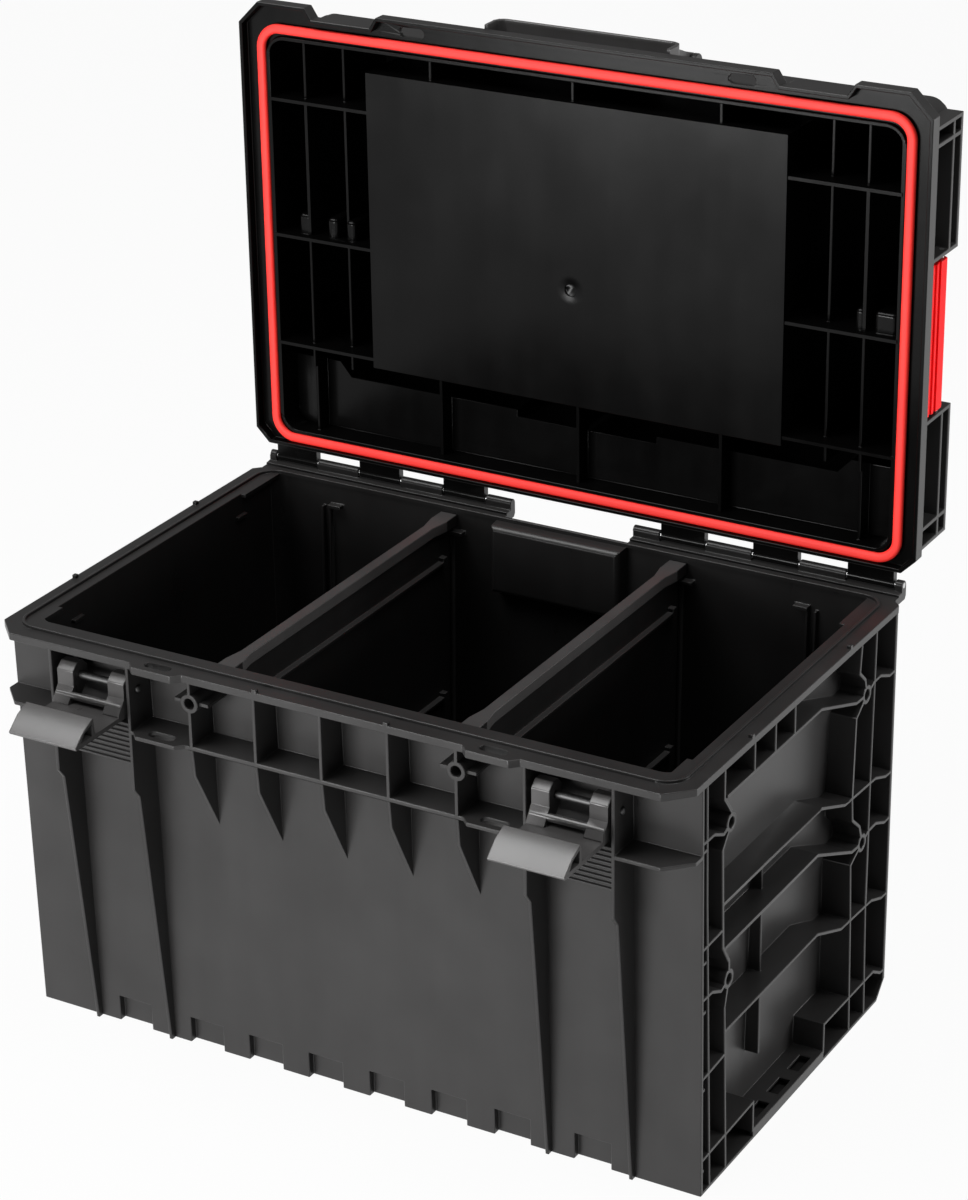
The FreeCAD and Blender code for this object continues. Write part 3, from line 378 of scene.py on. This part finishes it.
@dataclass(frozen=True)
class MouldedPlastic:
    """Dark plastic with the fine grain of an eroded mould, flow marks and, on request, one sink."""

    name: str
    dark: float
    light: float
    roughness: float
    shine: float = 0.34
    ior: float = 1.49
    dark_tint: Point = (1.03, 0.99, 0.985)
    light_tint: Point = (1.02, 0.995, 0.99)
    tone_span: Span = (0.3, 0.7)
    flow: Pattern = Pattern(waves=14.0, detail=4.0, fineness=0.55, tone=0.6, rough=0.12)
    streaks: Pattern = Pattern(waves=60.0, detail=3.0, stretch=(1.0, 1.0, 0.12), tone=0.25,
                               rough=0.06)
    grain: Pattern = Pattern(waves=1500.0, fineness=0.6, tone=0.15)
    flow_relief: Relief = Relief(height=0.9 * MM, strength=0.12)
    grain_strength: float = 0.55
    grain_height: float = 0.06 * MM
    sink_place: Point | None = None
    sink_radius: float = 12.0 * MM
    sink_relief: Relief = Relief(height=0.8 * MM)

    def material(self) -> bpy.types.Material:
        """Builds the material.

        Returns:
            The material.
        """
        tree = ShaderTree(self.name)
        place = tree.place()
        flow = tree.noise(place, self.flow)
        streaks = tree.noise(place, self.streaks)
        grain = tree.noise(place, self.grain)
        tone = flow * self.flow.tone + streaks * self.streaks.tone + grain * self.grain.tone
        rough = (flow * self.flow.rough + streaks * self.streaks.rough
                 + least_rough(self.roughness, self.flow, self.streaks))
        normal = tree.bump(flow, self.flow_relief)
        if self.sink_place is not None:
            sink = tree.distance(place, self.sink_place, self.sink_radius)
            normal = tree.bump(sink, self.sink_relief, normal)
        normal = tree.bump(grain, Relief(self.grain_height, self.grain_strength), normal)
        colours = tinted(self.dark, self.dark_tint), tinted(self.light, self.light_tint)
        return tree.principled({
            "Base Color": tree.ramp(tone, self.tone_span, colours),
            "Roughness": rough, "Normal": normal,
            "IOR": self.ior, "Specular IOR Level": self.shine,
        })


@dataclass(frozen=True)
class SealRubber:
    """Bright foam rubber with a dull skin."""

    name: str
    dark: Colour
    light: Colour
    roughness: float
    ior: float = 1.5
    tone_span: Span = (0.3, 0.7)
    clouds: Pattern = Pattern(waves=22.0, detail=3.0, tone=0.8, rough=0.06)
    pores: Pattern = Pattern(waves=1400.0, detail=3.0, fineness=0.7, tone=0.2, rough=0.14)
    pore_relief: Relief = Relief(height=0.08 * MM, strength=0.35)

    def material(self) -> bpy.types.Material:
        """Builds the material.

        Returns:
            The material.
        """
        tree = ShaderTree(self.name)
        place = tree.place()
        clouds = tree.noise(place, self.clouds)
        pores = tree.noise(place, self.pores)
        tone = clouds * self.clouds.tone + pores * self.pores.tone
        rough = (pores * self.pores.rough + clouds * self.clouds.rough
                 + least_rough(self.roughness, self.pores, self.clouds))
        return tree.principled({
            "Base Color": tree.ramp(tone, self.tone_span, (self.dark, self.light)),
            "Roughness": rough, "Normal": tree.bump(pores, self.pore_relief), "IOR": self.ior,
        })


@dataclass(frozen=True)
class ClearedPlastic:
    """Coloured plastic with a smooth, faintly coated face."""

    name: str
    dark: Colour
    light: Colour
    roughness: float
    shine: float = 0.06
    ior: float = 1.5
    coat: float = 0.02
    coat_roughness: float = 0.25
    tone_span: Span = (0.32, 0.68)
    clouds: Pattern = Pattern(waves=18.0, detail=4.0, rough=0.1)
    grain: Pattern = Pattern(waves=1900.0, rough=0.06)
    grain_relief: Relief = Relief(height=0.04 * MM, strength=0.25)

    def material(self) -> bpy.types.Material:
        """Builds the material.

        Returns:
            The material.
        """
        tree = ShaderTree(self.name)
        place = tree.place()
        clouds = tree.noise(place, self.clouds)
        grain = tree.noise(place, self.grain)
        rough = (clouds * self.clouds.rough + grain * self.grain.rough
                 + least_rough(self.roughness, self.clouds, self.grain))
        return tree.principled({
            "Base Color": tree.ramp(clouds, self.tone_span, (self.dark, self.light)),
            "Roughness": rough, "Normal": tree.bump(grain, self.grain_relief),
            "IOR": self.ior, "Specular IOR Level": self.shine,
            "Coat Weight": self.coat, "Coat Roughness": self.coat_roughness,
        })


@dataclass(frozen=True)
class PinSteel:
    """Drawn steel wire with fine lines along the pin."""

    name: str
    shade: float
    roughness: float
    dark_share: float = 0.8
    tone_span: Span = (0.3, 0.7)
    lines: Pattern = Pattern(waves=2600.0, detail=3.0, fineness=0.6, stretch=(0.05, 1.0, 1.0),
                             tone=0.5, rough=0.2)
    spots: Pattern = Pattern(waves=160.0, detail=3.0, tone=0.5, rough=0.12)
    line_relief: Relief = Relief(height=0.03 * MM, strength=0.3)

    def material(self) -> bpy.types.Material:
        """Builds the material.

        Returns:
            The material.
        """
        tree = ShaderTree(self.name)
        place = tree.place()
        lines = tree.noise(place, self.lines)
        spots = tree.noise(place, self.spots)
        tone = lines * self.lines.tone + spots * self.spots.tone
        rough = (lines * self.lines.rough + spots * self.spots.rough
                 + least_rough(self.roughness, self.lines, self.spots))
        colours = grey(self.shade * self.dark_share), grey(self.shade)
        return tree.principled({
            "Base Color": tree.ramp(tone, self.tone_span, colours),
            "Roughness": rough, "Metallic": 1.0, "Normal": tree.bump(lines, self.line_relief),
        })


@dataclass(frozen=True)
class PaleFloor:
    """White sweep that stays white to the camera and keeps the case's shadow."""

    name: str = "pale_floor"
    shade: float = 0.6
    glow: float = 0.95

    def material(self) -> bpy.types.Material:
        """Builds the material.

        Returns:
            The material.
        """
        tree = ShaderTree(self.name)
        path = tree.node("ShaderNodeLightPath")
        seen = Value(tree, path.outputs["Is Camera Ray"])
        for ray in ("Is Glossy Ray", "Is Transmission Ray"):
            seen = seen.at_least(Value(tree, path.outputs[ray]))
        matt = tree.node("ShaderNodeBsdfDiffuse", None, {"Color": grey(self.shade)})
        white = tree.node("ShaderNodeEmission", None, {"Color": grey(1.0), "Strength": 1.0})
        return tree.finish(tree.node("ShaderNodeMixShader", None, {
            0: seen * self.glow, 1: matt.outputs[0], 2: white.outputs[0],
        }))


@dataclass(frozen=True)
class EdgeRounding:
    """Rounds the sharp edges of a shape, each by as much as it has room for.

    An edge that runs across by more than across_share of its length bounds the room, of which
    room_share is used. A rounded face that points away from the shape is a fold, and the edges
    within fold_reach radii of its corners lose their rounding.
    """

    radius: float = 0.6 * MM
    least_radius: float = 0.05 * MM
    segments: int = 2
    sharp_angle: float = math.radians(30)
    level_angle: float = math.radians(0.4)
    merge_reach: float = 2e-6
    least_edge: float = 1e-6
    most_corners: int = 4
    across_share: float = 0.4
    room_share: float = 0.3
    fold_facing: float = -0.2
    fold_area: float = 1e-12
    fold_reach: float = 1.3
    fold_tries: int = 4
    weight_layer: str = "bevel_weight_edge"

    def rounded(self, source: bpy.types.Mesh, name: str) -> tuple[bpy.types.Mesh, BVHTree]:
        """Makes a rounded copy of a mesh.

        Args:
            source: Mesh of loose triangles, which stays as it is.
            name: Name of the copy.

        Returns:
            The copy, and the cleaned shape before rounding as a search tree.
        """
        work = self._clean_copy(source)
        shape = BVHTree.FromBMesh(work)
        made = self._bevelled(work, name)
        for _ in range(self.fold_tries):
            if not self._ease_folds(work, made, shape):
                break
            made = self._bevelled(work, name)
        work.free()
        return made, shape

    def _clean_copy(self, source: bpy.types.Mesh) -> bmesh.types.BMesh:
        """Copies a mesh with its flat faces tidied and its edges weighted for rounding.

        Args:
            source: Mesh of loose triangles.

        Returns:
            The copy.
        """
        work = bmesh.new()
        work.from_mesh(source)
        bmesh.ops.remove_doubles(work, verts=work.verts, dist=self.merge_reach)
        bmesh.ops.dissolve_degenerate(work, edges=work.edges, dist=self.least_edge)
        bmesh.ops.dissolve_limit(work, angle_limit=self.level_angle, use_dissolve_boundaries=False,
                                 verts=work.verts, edges=work.edges)
        weights = work.edges.layers.float.new(self.weight_layer)
        for edge in work.edges:
            sharp = edge.is_manifold and edge.calc_face_angle(0.0) > self.sharp_angle
            edge.smooth = not sharp
            edge[weights] = self._room(edge) / self.radius if sharp else 0.0
        for face in work.faces:
            face.smooth = True
        many = [face for face in work.faces if len(face.verts) > self.most_corners]
        bmesh.ops.triangulate(work, faces=many)
        work.verts.ensure_lookup_table()
        return work

    def _room(self, edge: bmesh.types.BMEdge) -> float:
        """Radius that an edge can have before its rounding meets another edge.

        Args:
            edge: Edge between two faces.

        Returns:
            The radius in metres, or 0 where too little is left.
        """
        along = (edge.verts[1].co - edge.verts[0].co).normalized()
        room = self.radius
        for loop in edge.link_loops:
            for near in (loop.link_loop_next.edge, loop.link_loop_prev.edge):
                reach = near.verts[1].co - near.verts[0].co
                across = reach.cross(along).length
                if across > self.across_share * reach.length:
                    room = min(room, across * self.room_share)
        return room if room > self.least_radius else 0.0

    def _bevelled(self, work: bmesh.types.BMesh, name: str) -> bpy.types.Mesh:
        """Rounds the weighted edges.

        Args:
            work: Cleaned shape, which stays as it is.
            name: Name of the mesh.

        Returns:
            The rounded mesh.
        """
        mesh = bpy.data.meshes.new(name)
        work.to_mesh(mesh)
        trial = added(name, mesh)
        bevel = trial.modifiers.new("edges", "BEVEL")
        bevel.width = self.radius
        bevel.segments = self.segments
        bevel.limit_method = "WEIGHT"
        bevel.offset_type = "OFFSET"
        bevel.use_clamp_overlap = False
        shading = trial.modifiers.new("normals", "WEIGHTED_NORMAL")
        shading.mode = "FACE_AREA"
        shading.keep_sharp = True
        apply_modifiers(trial)
        made = trial.data
        bpy.data.objects.remove(trial)
        bpy.data.meshes.remove(mesh)
        return made

    def _ease_folds(self, work: bmesh.types.BMesh, made: bpy.types.Mesh, shape: BVHTree) -> int:
        """Takes the rounding off edges where it folded a face over.

        Args:
            work: Cleaned shape whose weights are changed.
            made: Rounded mesh.
            shape: The cleaned shape as a search tree.

        Returns:
            How many faces were folded.
        """
        corners = KDTree(len(work.verts))
        for index, vert in enumerate(work.verts):
            corners.insert(vert.co, index)
        corners.balance()
        weights = work.edges.layers.float[self.weight_layer]
        reach = self.fold_reach * self.radius
        made.calc_loop_triangles()
        folds = 0
        for face in made.loop_triangles:
            normal = shape.find_nearest(face.center)[1]
            if face.area < self.fold_area or normal.dot(face.normal) > self.fold_facing:
                continue
            folds += 1
            for corner in face.vertices:
                for _, index, _ in corners.find_range(made.vertices[corner].co, reach):
                    for edge in work.verts[index].link_edges:
                        edge[weights] = 0.0
        return folds


@dataclass(frozen=True)
class PaintedLightShadeFinish:
    """A second finish for the flats that lie open one way, with the moulding behind them.

    A darker copy of the plastic there is painted shade, as inside the tub and the lid, and a
    lighter copy is painted light, as on the tops of the dividers. A flat that faces that way by
    more than most_facing, as a cosine, keeps the first finish, and one that does so by more than
    sure_facing counts as open even under something.
    """

    material: bpy.types.Material
    way: Point = (0.0, 0.0, 1.0)
    most_facing: float = PAST_COSINE
    sure_facing: float = PAST_COSINE
    open_share: float = 0.5
    step_off: float = 1.0 * MM
    flat_angle: float = math.radians(2)

    def apply(self, made: bpy.types.Mesh, shape: BVHTree) -> None:
        """Gives the open flats of a moulding this finish.

        Args:
            made: Rounded mesh, which has its first material.
            shape: The cleaned shape before rounding as a search tree.
        """
        made.materials.append(self.material)
        work = bmesh.new()
        work.from_mesh(made)
        for flat in self._flats(work):
            if self._lies_open(flat, shape):
                for face in flat:
                    # the second material: painted shade where it is darker, painted light where it
                    # is lighter
                    made.polygons[face.index].material_index = 1
        work.free()

    def _lies_open(self, flat: Flat, shape: BVHTree) -> bool:
        """Says whether more than the open share of a flat lies open.

        Args:
            flat: Faces of the flat.
            shape: The cleaned shape as a search tree.

        Returns:
            Whether it gets this finish.
        """
        way = Vector(self.way)
        facing = flat[0].normal.dot(way)
        if facing > self.most_facing:
            return False
        open_area = 0.0
        for face in flat:
            start = face.calc_center_median() + face.normal * self.step_off
            clear = shape.ray_cast(start, way)[0] is None
            backed = shape.ray_cast(start, -way)[0] is not None
            if clear and backed or facing > self.sure_facing:
                open_area += face.calc_area()
        return open_area > self.open_share * sum(face.calc_area() for face in flat)

    def _flats(self, work: bmesh.types.BMesh) -> list[Flat]:
        """Sorts the faces of a mesh into flat regions.

        Args:
            work: The mesh.

        Returns:
            The faces of each region.
        """
        flats = []
        seen: set[bmesh.types.BMFace] = set()
        for seed in work.faces:
            if seed in seen:
                continue
            seen.add(seed)
            flat, rest = [], [seed]
            while rest:
                face = rest.pop()
                flat.append(face)
                for edge in face.edges:
                    if edge.is_manifold and edge.calc_face_angle(0.0) < self.flat_angle:
                        fresh = [near for near in edge.link_faces if near not in seen]
                        seen.update(fresh)
                        rest += fresh
            flats.append(flat)
        return flats


@dataclass
class Moulding:
    """A moulded piece: one node's shape with its edges rounded."""

    name: str
    node: str
    slot: Slot
    material: bpy.types.Material
    painted_light_shade: PaintedLightShadeFinish | None = None
    edges: EdgeRounding = EdgeRounding()

    def build(self) -> bpy.types.Object:
        """Makes the piece and sets it on its body in the node's place.

        Returns:
            The piece.
        """
        made, shape = self.edges.rounded(frame["nodes"][self.node].data, self.name)
        piece = added(self.name, made)
        dress(piece, self.material)
        if self.painted_light_shade is not None:
            self.painted_light_shade.apply(made, shape)
        seat(piece, self.node, self.slot)
        return piece


@dataclass
class PeenedPin:
    """A front latch's pin: a dull shank along X with domed ends, whose brighter steel is a painted
    glint.
    """

    name: str
    node: str
    shank: bpy.types.Material
    ends: bpy.types.Material
    dome_height: float = 1.8 * MM
    dome_rings: int = 5
    sides: int = 32
    merge_reach: float = 1e-6
    sharp_angle: float = math.radians(40)

    def build(self) -> bpy.types.Object:
        """Turns the pin and sets it on its body in the node's place.

        Returns:
            The piece.
        """
        low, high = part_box(self.node)
        axis = (low + high) / 2
        turns = [math.tau * index / self.sides for index in range(self.sides)]
        around = [Vector((0.0, -math.sin(turn), math.cos(turn))) for turn in turns]
        work = bmesh.new()
        rings = []
        for along, out in self._profile(low.x, high.x, (high.z - low.z) / 2):
            centre = Vector((along, axis.y, axis.z))
            rings.append([work.verts.new(centre + way * out) for way in around])
        for ring, beyond in zip(rings, rings[1:]):
            for side in range(self.sides):
                work.faces.new((ring[side - 1], ring[side], beyond[side], beyond[side - 1]))
        bmesh.ops.remove_doubles(work, verts=work.verts, dist=self.merge_reach)
        bmesh.ops.recalc_face_normals(work, faces=work.faces)
        for face in work.faces:
            face.smooth = True
            # ends beyond the shank take the brighter steel: a painted glint
            face.material_index = int(not low.x < face.calc_center_median().x < high.x)
        for edge in work.edges:
            edge.smooth = edge.calc_face_angle(0.0) < self.sharp_angle
        mesh = bpy.data.meshes.new(self.name)
        work.to_mesh(mesh)
        work.free()
        piece = added(self.name, mesh)
        dress(piece, self.shank, self.ends)
        seat(piece, self.node, Slot.STEEL)
        return piece

    def _profile(self, start: float, end: float, radius: float) -> list[Span]:
        """Half outline of the pin, from one dome's tip to the other's.

        Args:
            start: Place along X where the shank starts.
            end: Place where it ends.
            radius: Radius of the shank.

        Returns:
            Places along X with their distances from the axis.
        """
        turns = [index / self.dome_rings * math.pi / 2 for index in range(self.dome_rings + 1)]
        dome = [(self.dome_height * math.cos(turn), radius * math.sin(turn)) for turn in turns]
        return ([(start - rise, out) for rise, out in dome]
                + [(end + rise, out) for rise, out in reversed(dome)])


class SweepTree(NodeBuilder):
    """Builds one Geometry Nodes tree with named inputs."""

    def __init__(self, name: str) -> None:
        """Starts a tree that gives geometry.

        Args:
            name: Name of the tree.
        """
        super().__init__(bpy.data.node_groups.new(name, "GeometryNodeTree"))
        self.tree.interface.new_socket("Geometry", in_out="OUTPUT",
                                       socket_type="NodeSocketGeometry")
        self.inlet = self.node("NodeGroupInput")
        self.outlet = self.node("NodeGroupOutput")
        self.values: dict[str, Any] = {}

    def size(self, name: str, value: Any, kind: str = "NodeSocketFloat") -> bpy.types.NodeSocket:
        """Adds a named input.

        Args:
            name: Name of the input.
            value: What the modifier sets it to.
            kind: Blender's socket type.

        Returns:
            The socket inside the tree.
        """
        socket = self.tree.interface.new_socket(name, in_out="INPUT", socket_type=kind)
        self.values[socket.identifier] = value
        return next(s for s in self.inlet.outputs if s.identifier == socket.identifier)

    def piece(self, name: str, geometry: bpy.types.NodeSocket,
              material: bpy.types.Material) -> bpy.types.Object:
        """Ends the tree and turns its result into a plain mesh.

        Args:
            name: Name of the piece.
            geometry: Socket with the finished geometry.
            material: Material of the piece.

        Returns:
            The piece, with no modifier left.
        """
        whole = self.node("GeometryNodeRealizeInstances", None, {0: geometry})
        coated = self.node("GeometryNodeSetMaterial", None,
                           {"Geometry": whole.outputs[0], "Material": material})
        self.tree.links.new(coated.outputs[0], self.outlet.inputs[0])
        made = added(name, bpy.data.meshes.new(name))
        modifier = made.modifiers.new(name, "NODES")
        modifier.node_group = self.tree
        for identifier, value in self.values.items():
            modifier[identifier] = value
        apply_modifiers(made)
        return made


@dataclass
class SealBead:
    """The lid's seal, a rounded bead swept round the rim of the open lid."""

    material: bpy.types.Material
    node: str = "lid_seal"
    name: str = "seal_bead"
    bead_width: float = 7.6 * MM
    corner_radius: float = 20.8 * MM
    corner_points: int = 14
    crown_radius: float = 2.55 * MM
    crown_points: int = 6

    def build(self) -> bpy.types.Object:
        """Sweeps the bead and sets it in the lid.

        Returns:
            The piece.
        """
        low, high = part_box(self.node)
        tree = SweepTree("seal_sweep")
        length = tree.size("Length", high.x - low.x - self.bead_width)
        height = tree.size("Height", high.z - low.z - self.bead_width)
        corner = tree.size("Corner radius", self.corner_radius - self.bead_width / 2)
        width = tree.size("Bead width", self.bead_width)
        depth = tree.size("Bead depth", high.y - low.y)
        crown = tree.size("Crown radius", self.crown_radius)
        centre = tree.size("Centre", tuple((low + high) / 2), "NodeSocketVector")
        path = self._rounded_loop(tree, (length, height), corner, self.corner_points)
        level = tree.node("GeometryNodeSetCurveNormal", {"mode": "Z_UP"}, {"Curve": path})
        section = self._rounded_loop(tree, (width, depth), crown, self.crown_points)
        swept = tree.node("GeometryNodeCurveToMesh", None,
                          {"Curve": level.outputs[0], "Profile Curve": section})
        smooth = tree.node("GeometryNodeSetShadeSmooth", None, {"Geometry": swept.outputs[0]})
        stood = tree.node("GeometryNodeTransform", None, {
            "Geometry": smooth.outputs[0], "Translation": centre,
            "Rotation": (math.pi / 2, 0.0, 0.0),
        })
        piece = tree.piece(self.name, stood.outputs[0], self.material)
        seat(piece, self.node, Slot.RUBBER)
        return piece

    @staticmethod
    def _rounded_loop(tree: SweepTree, size: tuple[bpy.types.NodeSocket, bpy.types.NodeSocket],
                      radius: bpy.types.NodeSocket, points: int) -> bpy.types.NodeSocket:
        """Adds a rectangle with rounded corners.

        Args:
            tree: Tree that it is added to.
            size: Its width and height.
            radius: Radius of its corners.
            points: Points that each corner gets.

        Returns:
            The curve's socket.
        """
        loop = tree.node("GeometryNodeCurvePrimitiveQuadrilateral", {"mode": "RECTANGLE"},
                         {"Width": size[0], "Height": size[1]})
        rounded = tree.node("GeometryNodeFilletCurve", {"mode": "POLY"},
                            {"Curve": loop.outputs[0], "Count": points, "Radius": radius})
        return rounded.outputs[0]


@dataclass(frozen=True)
class Softbox:
    """A soft lamp that faces a point."""

    name: str
    place: Point
    aim: Point
    size: Span
    power: float

    def build(self) -> bpy.types.Object:
        """Makes the lamp.

        Returns:
            The lamp's object.
        """
        lamp = bpy.data.lights.new(self.name, "AREA")
        lamp.shape = "RECTANGLE"
        lamp.size, lamp.size_y = self.size
        lamp.energy = self.power
        made = added(self.name, lamp)
        made.location = self.place
        toward = Vector(self.aim) - Vector(self.place)
        made.rotation_euler = toward.to_track_quat("-Z", "Y").to_euler()
        made.visible_camera = False
        return made


@dataclass(frozen=True)
class PhotoCamera:
    """Camera at the photograph's place and angle."""

    name: str = "photo_camera"
    place: Point = (1.2082, -2.0216, 1.4175)
    yaw: float = math.radians(30.24)
    pitch: float = math.radians(24.45)
    roll: float = math.radians(-0.89)
    focal_px: float = 3460.5
    frame_height_px: int = 1200
    sensor: float = 36.0
    clip_end: float = 60.0

    def build(self) -> bpy.types.Object:
        """Makes the camera and makes it the scene's camera.

        Returns:
            The camera's object.
        """
        lens = bpy.data.cameras.new(self.name)
        lens.sensor_fit = "VERTICAL"
        lens.sensor_height = self.sensor
        lens.lens = self.sensor * self.focal_px / self.frame_height_px
        lens.clip_end = self.clip_end
        ahead = Vector((-math.sin(self.yaw) * math.cos(self.pitch),
                        math.cos(self.yaw) * math.cos(self.pitch), -math.sin(self.pitch)))
        level = Vector((math.cos(self.yaw), math.sin(self.yaw), 0.0))
        upward = level.cross(ahead)
        right = level * math.cos(self.roll) + upward * math.sin(self.roll)
        up = upward * math.cos(self.roll) - level * math.sin(self.roll)
        turn = Matrix((right, up, -ahead)).transposed().to_4x4()
        made = added(self.name, lens)
        made.matrix_world = Matrix.Translation(self.place) @ turn
        bpy.context.scene.camera = made
        return made


@dataclass
class Studio:
    """Pale floor, soft lamps and an even sky."""

    floor_reach: float = 30.0
    sky: float = 0.16
    lamps: tuple[Softbox, ...] = field(default_factory=lambda: (
        Softbox("front_box", place=(-0.55, -2.05, 0.4), aim=(0.08, -0.15, 0.2), size=(1.3, 0.6),
                power=52.0),
        Softbox("upper_box", place=(-1.0, -0.85, 2.5), aim=(0.1, -0.1, 0.3), size=(1.2, 1.2),
                power=42.0),
        Softbox("over_box", place=(0.75, -0.1, 2.4), aim=(0.1, 0.0, 0.3), size=(0.8, 0.8),
                power=12.0),
        Softbox("right_box", place=(2.1, 0.95, 0.7), aim=(0.3, 0.0, 0.25), size=(1.2, 0.8),
                power=32.0),
    ))

    def build(self) -> None:
        """Makes the floor, the sky and the lamps."""
        scene = bpy.context.scene
        scene.view_settings.view_transform = "Standard"
        world = bpy.data.worlds.new("even_sky")
        scene.world = world
        world.use_nodes = True
        sky = world.node_tree.nodes["Background"]
        sky.inputs["Color"].default_value = grey(1.0)
        sky.inputs["Strength"].default_value = self.sky
        work = bmesh.new()
        bmesh.ops.create_grid(work, x_segments=1, y_segments=1, size=self.floor_reach)
        mesh = bpy.data.meshes.new("floor")
        work.to_mesh(mesh)
        work.free()
        floor = added("floor", mesh)
        dress(floor, PaleFloor().material())
        floor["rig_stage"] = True
        for lamp in self.lamps:
            lamp.build()


@dataclass
class ToolCase:
    """The whole case: tub, lid, dividers, latches, handle, seal and pins."""

    plastic: bpy.types.Material
    tub_painted_shade: bpy.types.Material
    lid_painted_shade: bpy.types.Material
    divider_plastic: bpy.types.Material
    rail_painted_light: bpy.types.Material
    lever_plastic_painted_sheen: bpy.types.Material
    red: bpy.types.Material
    rubber: bpy.types.Material
    steel: bpy.types.Material
    dull_steel: bpy.types.Material
    peened_steel: bpy.types.Material

    def mouldings(self) -> list[Moulding]:
        """Lists the moulded pieces.

        Returns:
            The pieces, not yet built.
        """
        pieces = [
            # The tub's inner walls take a darker copy of the plastic: painted shade.
            Moulding("tub_moulding", "base_shell", Slot.PLASTIC, self.plastic,
                     PaintedLightShadeFinish(self.tub_painted_shade, most_facing=0.5)),
            # The lid's inner flats take a near-black copy of the plastic: painted shade.
            Moulding("lid_moulding", "lid_shell", Slot.PLASTIC, self.plastic,
                     PaintedLightShadeFinish(self.lid_painted_shade, way=(0.0, -1.0, 0.0))),
            # The handle and levers take a lighter plastic: partly its own dark grey, partly a
            # painted sheen.
            Moulding("handle_moulding", "carry_handle", Slot.PLASTIC, self.lever_plastic_painted_sheen),
        ]
        for side in Side:
            pieces += [
                # Dividers: a darker copy of the plastic is painted shade, and the lighter copy on
                # their tops is painted light.
                Moulding(f"divider_moulding_{side.value}", f"divider_{side.value}", Slot.PLASTIC,
                         self.divider_plastic, PaintedLightShadeFinish(self.rail_painted_light, sure_facing=0.5)),
                # The lever's lighter plastic is partly its own dark grey, partly a painted sheen.
                Moulding(f"latch_moulding_{side.value}", f"latch_lever_{side.value}",
                         Slot.PLASTIC, self.lever_plastic_painted_sheen),
                Moulding(f"side_latch_moulding_{side.value}", f"stack_latch_{side.value}",
                         Slot.RED, self.red),
            ]
        return pieces

    def pins(self) -> Iterator[bpy.types.Object]:
        """Makes the front latches' pins and dresses the other pins, which keep their own shapes.

        Yields:
            The pins, one by one.
        """
        for name, node in frame["nodes"].items():
            if name.startswith("latch_pin_"):
                # The domed pin ends get a brighter steel: a painted glint.
                yield PeenedPin(f"peened_{name}", name, self.dull_steel, self.peened_steel).build()
            elif "_pin_" in name:
                for place in node.material_slots:
                    place.material = self.steel
                yield node

    def pieces(self) -> Iterator[bpy.types.Object]:
        """Builds the pieces.

        Yields:
            The pieces, one by one.
        """
        for moulding in self.mouldings():
            yield moulding.build()
        yield SealBead(self.rubber).build()
        yield from self.pins()

    def build(self) -> None:
        """Builds every piece and reports it."""
        for piece in self.pieces():
            LOG.info("%s: %d faces", piece.name, len(piece.data.polygons))


def write_sizes() -> None:
    """Works out the solids' box and the dressed box; nothing is written."""
    boxes = {name: [list(corner) for corner in box]
             for name, box in (("cad", CAD_BOX), ("visual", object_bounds()))}


def main() -> None:
    """Builds the camera, the studio and the case."""
    logging.basicConfig(level=logging.INFO, format="%(name)s: %(message)s")
    PhotoCamera().build()
    Studio().build()
    ToolCase(
        plastic=MouldedPlastic("black_plastic_moulded", dark=0.02, light=0.03,
                               roughness=0.36).material(),
        # Darker copy of the tub plastic for its inner walls: painted shade.
        tub_painted_shade=MouldedPlastic("black_plastic_tub_painted_shade", dark=0.007, light=0.011,
                                  roughness=0.3, shine=0.12).material(),
        # Near-black, glossier copy of the plastic for the lid's inside: painted shade; the sink is
        # a bump.
        lid_painted_shade=MouldedPlastic("black_plastic_lid_painted_shade", dark=0.0012, light=0.002,
                                  roughness=0.2, shine=0.115, grain_height=0.02 * MM,
                                  sink_place=(0.0, 0.1903, 0.5323)).material(),
        # Darker copy of the plastic for the dividers inside the tub: painted shade.
        divider_plastic=MouldedPlastic("black_plastic_divider_painted_shade", dark=0.008, light=0.013,
                                       roughness=0.36, shine=0.2).material(),
        # Lighter copy of the plastic for the dividers' tops: painted light.
        rail_painted_light=MouldedPlastic("black_plastic_rail_painted_light", dark=0.045, light=0.062,
                                    roughness=0.36, shine=0.4).material(),
        # Lighter copy of the plastic for the levers and handle: partly their own dark grey, partly
        # a painted sheen of their tops.
        lever_plastic_painted_sheen=MouldedPlastic("black_plastic_lever_painted_sheen", dark=0.045, light=0.062,
                                     roughness=0.3, shine=0.5).material(),
        red=ClearedPlastic("red_plastic_clear", dark=(0.84, 0.006, 0.008, 1.0),
                           light=(0.94, 0.01, 0.012, 1.0), roughness=0.4).material(),
        rubber=SealRubber("red_seal_rubber", dark=(0.82, 0.018, 0.013, 1.0),
                          light=(0.93, 0.03, 0.02, 1.0), roughness=0.6).material(),
        steel=PinSteel("pin_steel", shade=0.62, roughness=0.38).material(),
        dull_steel=PinSteel("pin_steel_dull", shade=0.1, roughness=0.52).material(),
        # Brighter copy of the steel for the domed pin ends: a painted glint.
        peened_steel=PinSteel("pin_steel_painted_glint", shade=0.92, roughness=0.5).material(),
    ).build()
    write_sizes()


if __name__ == "__main__":
    main()
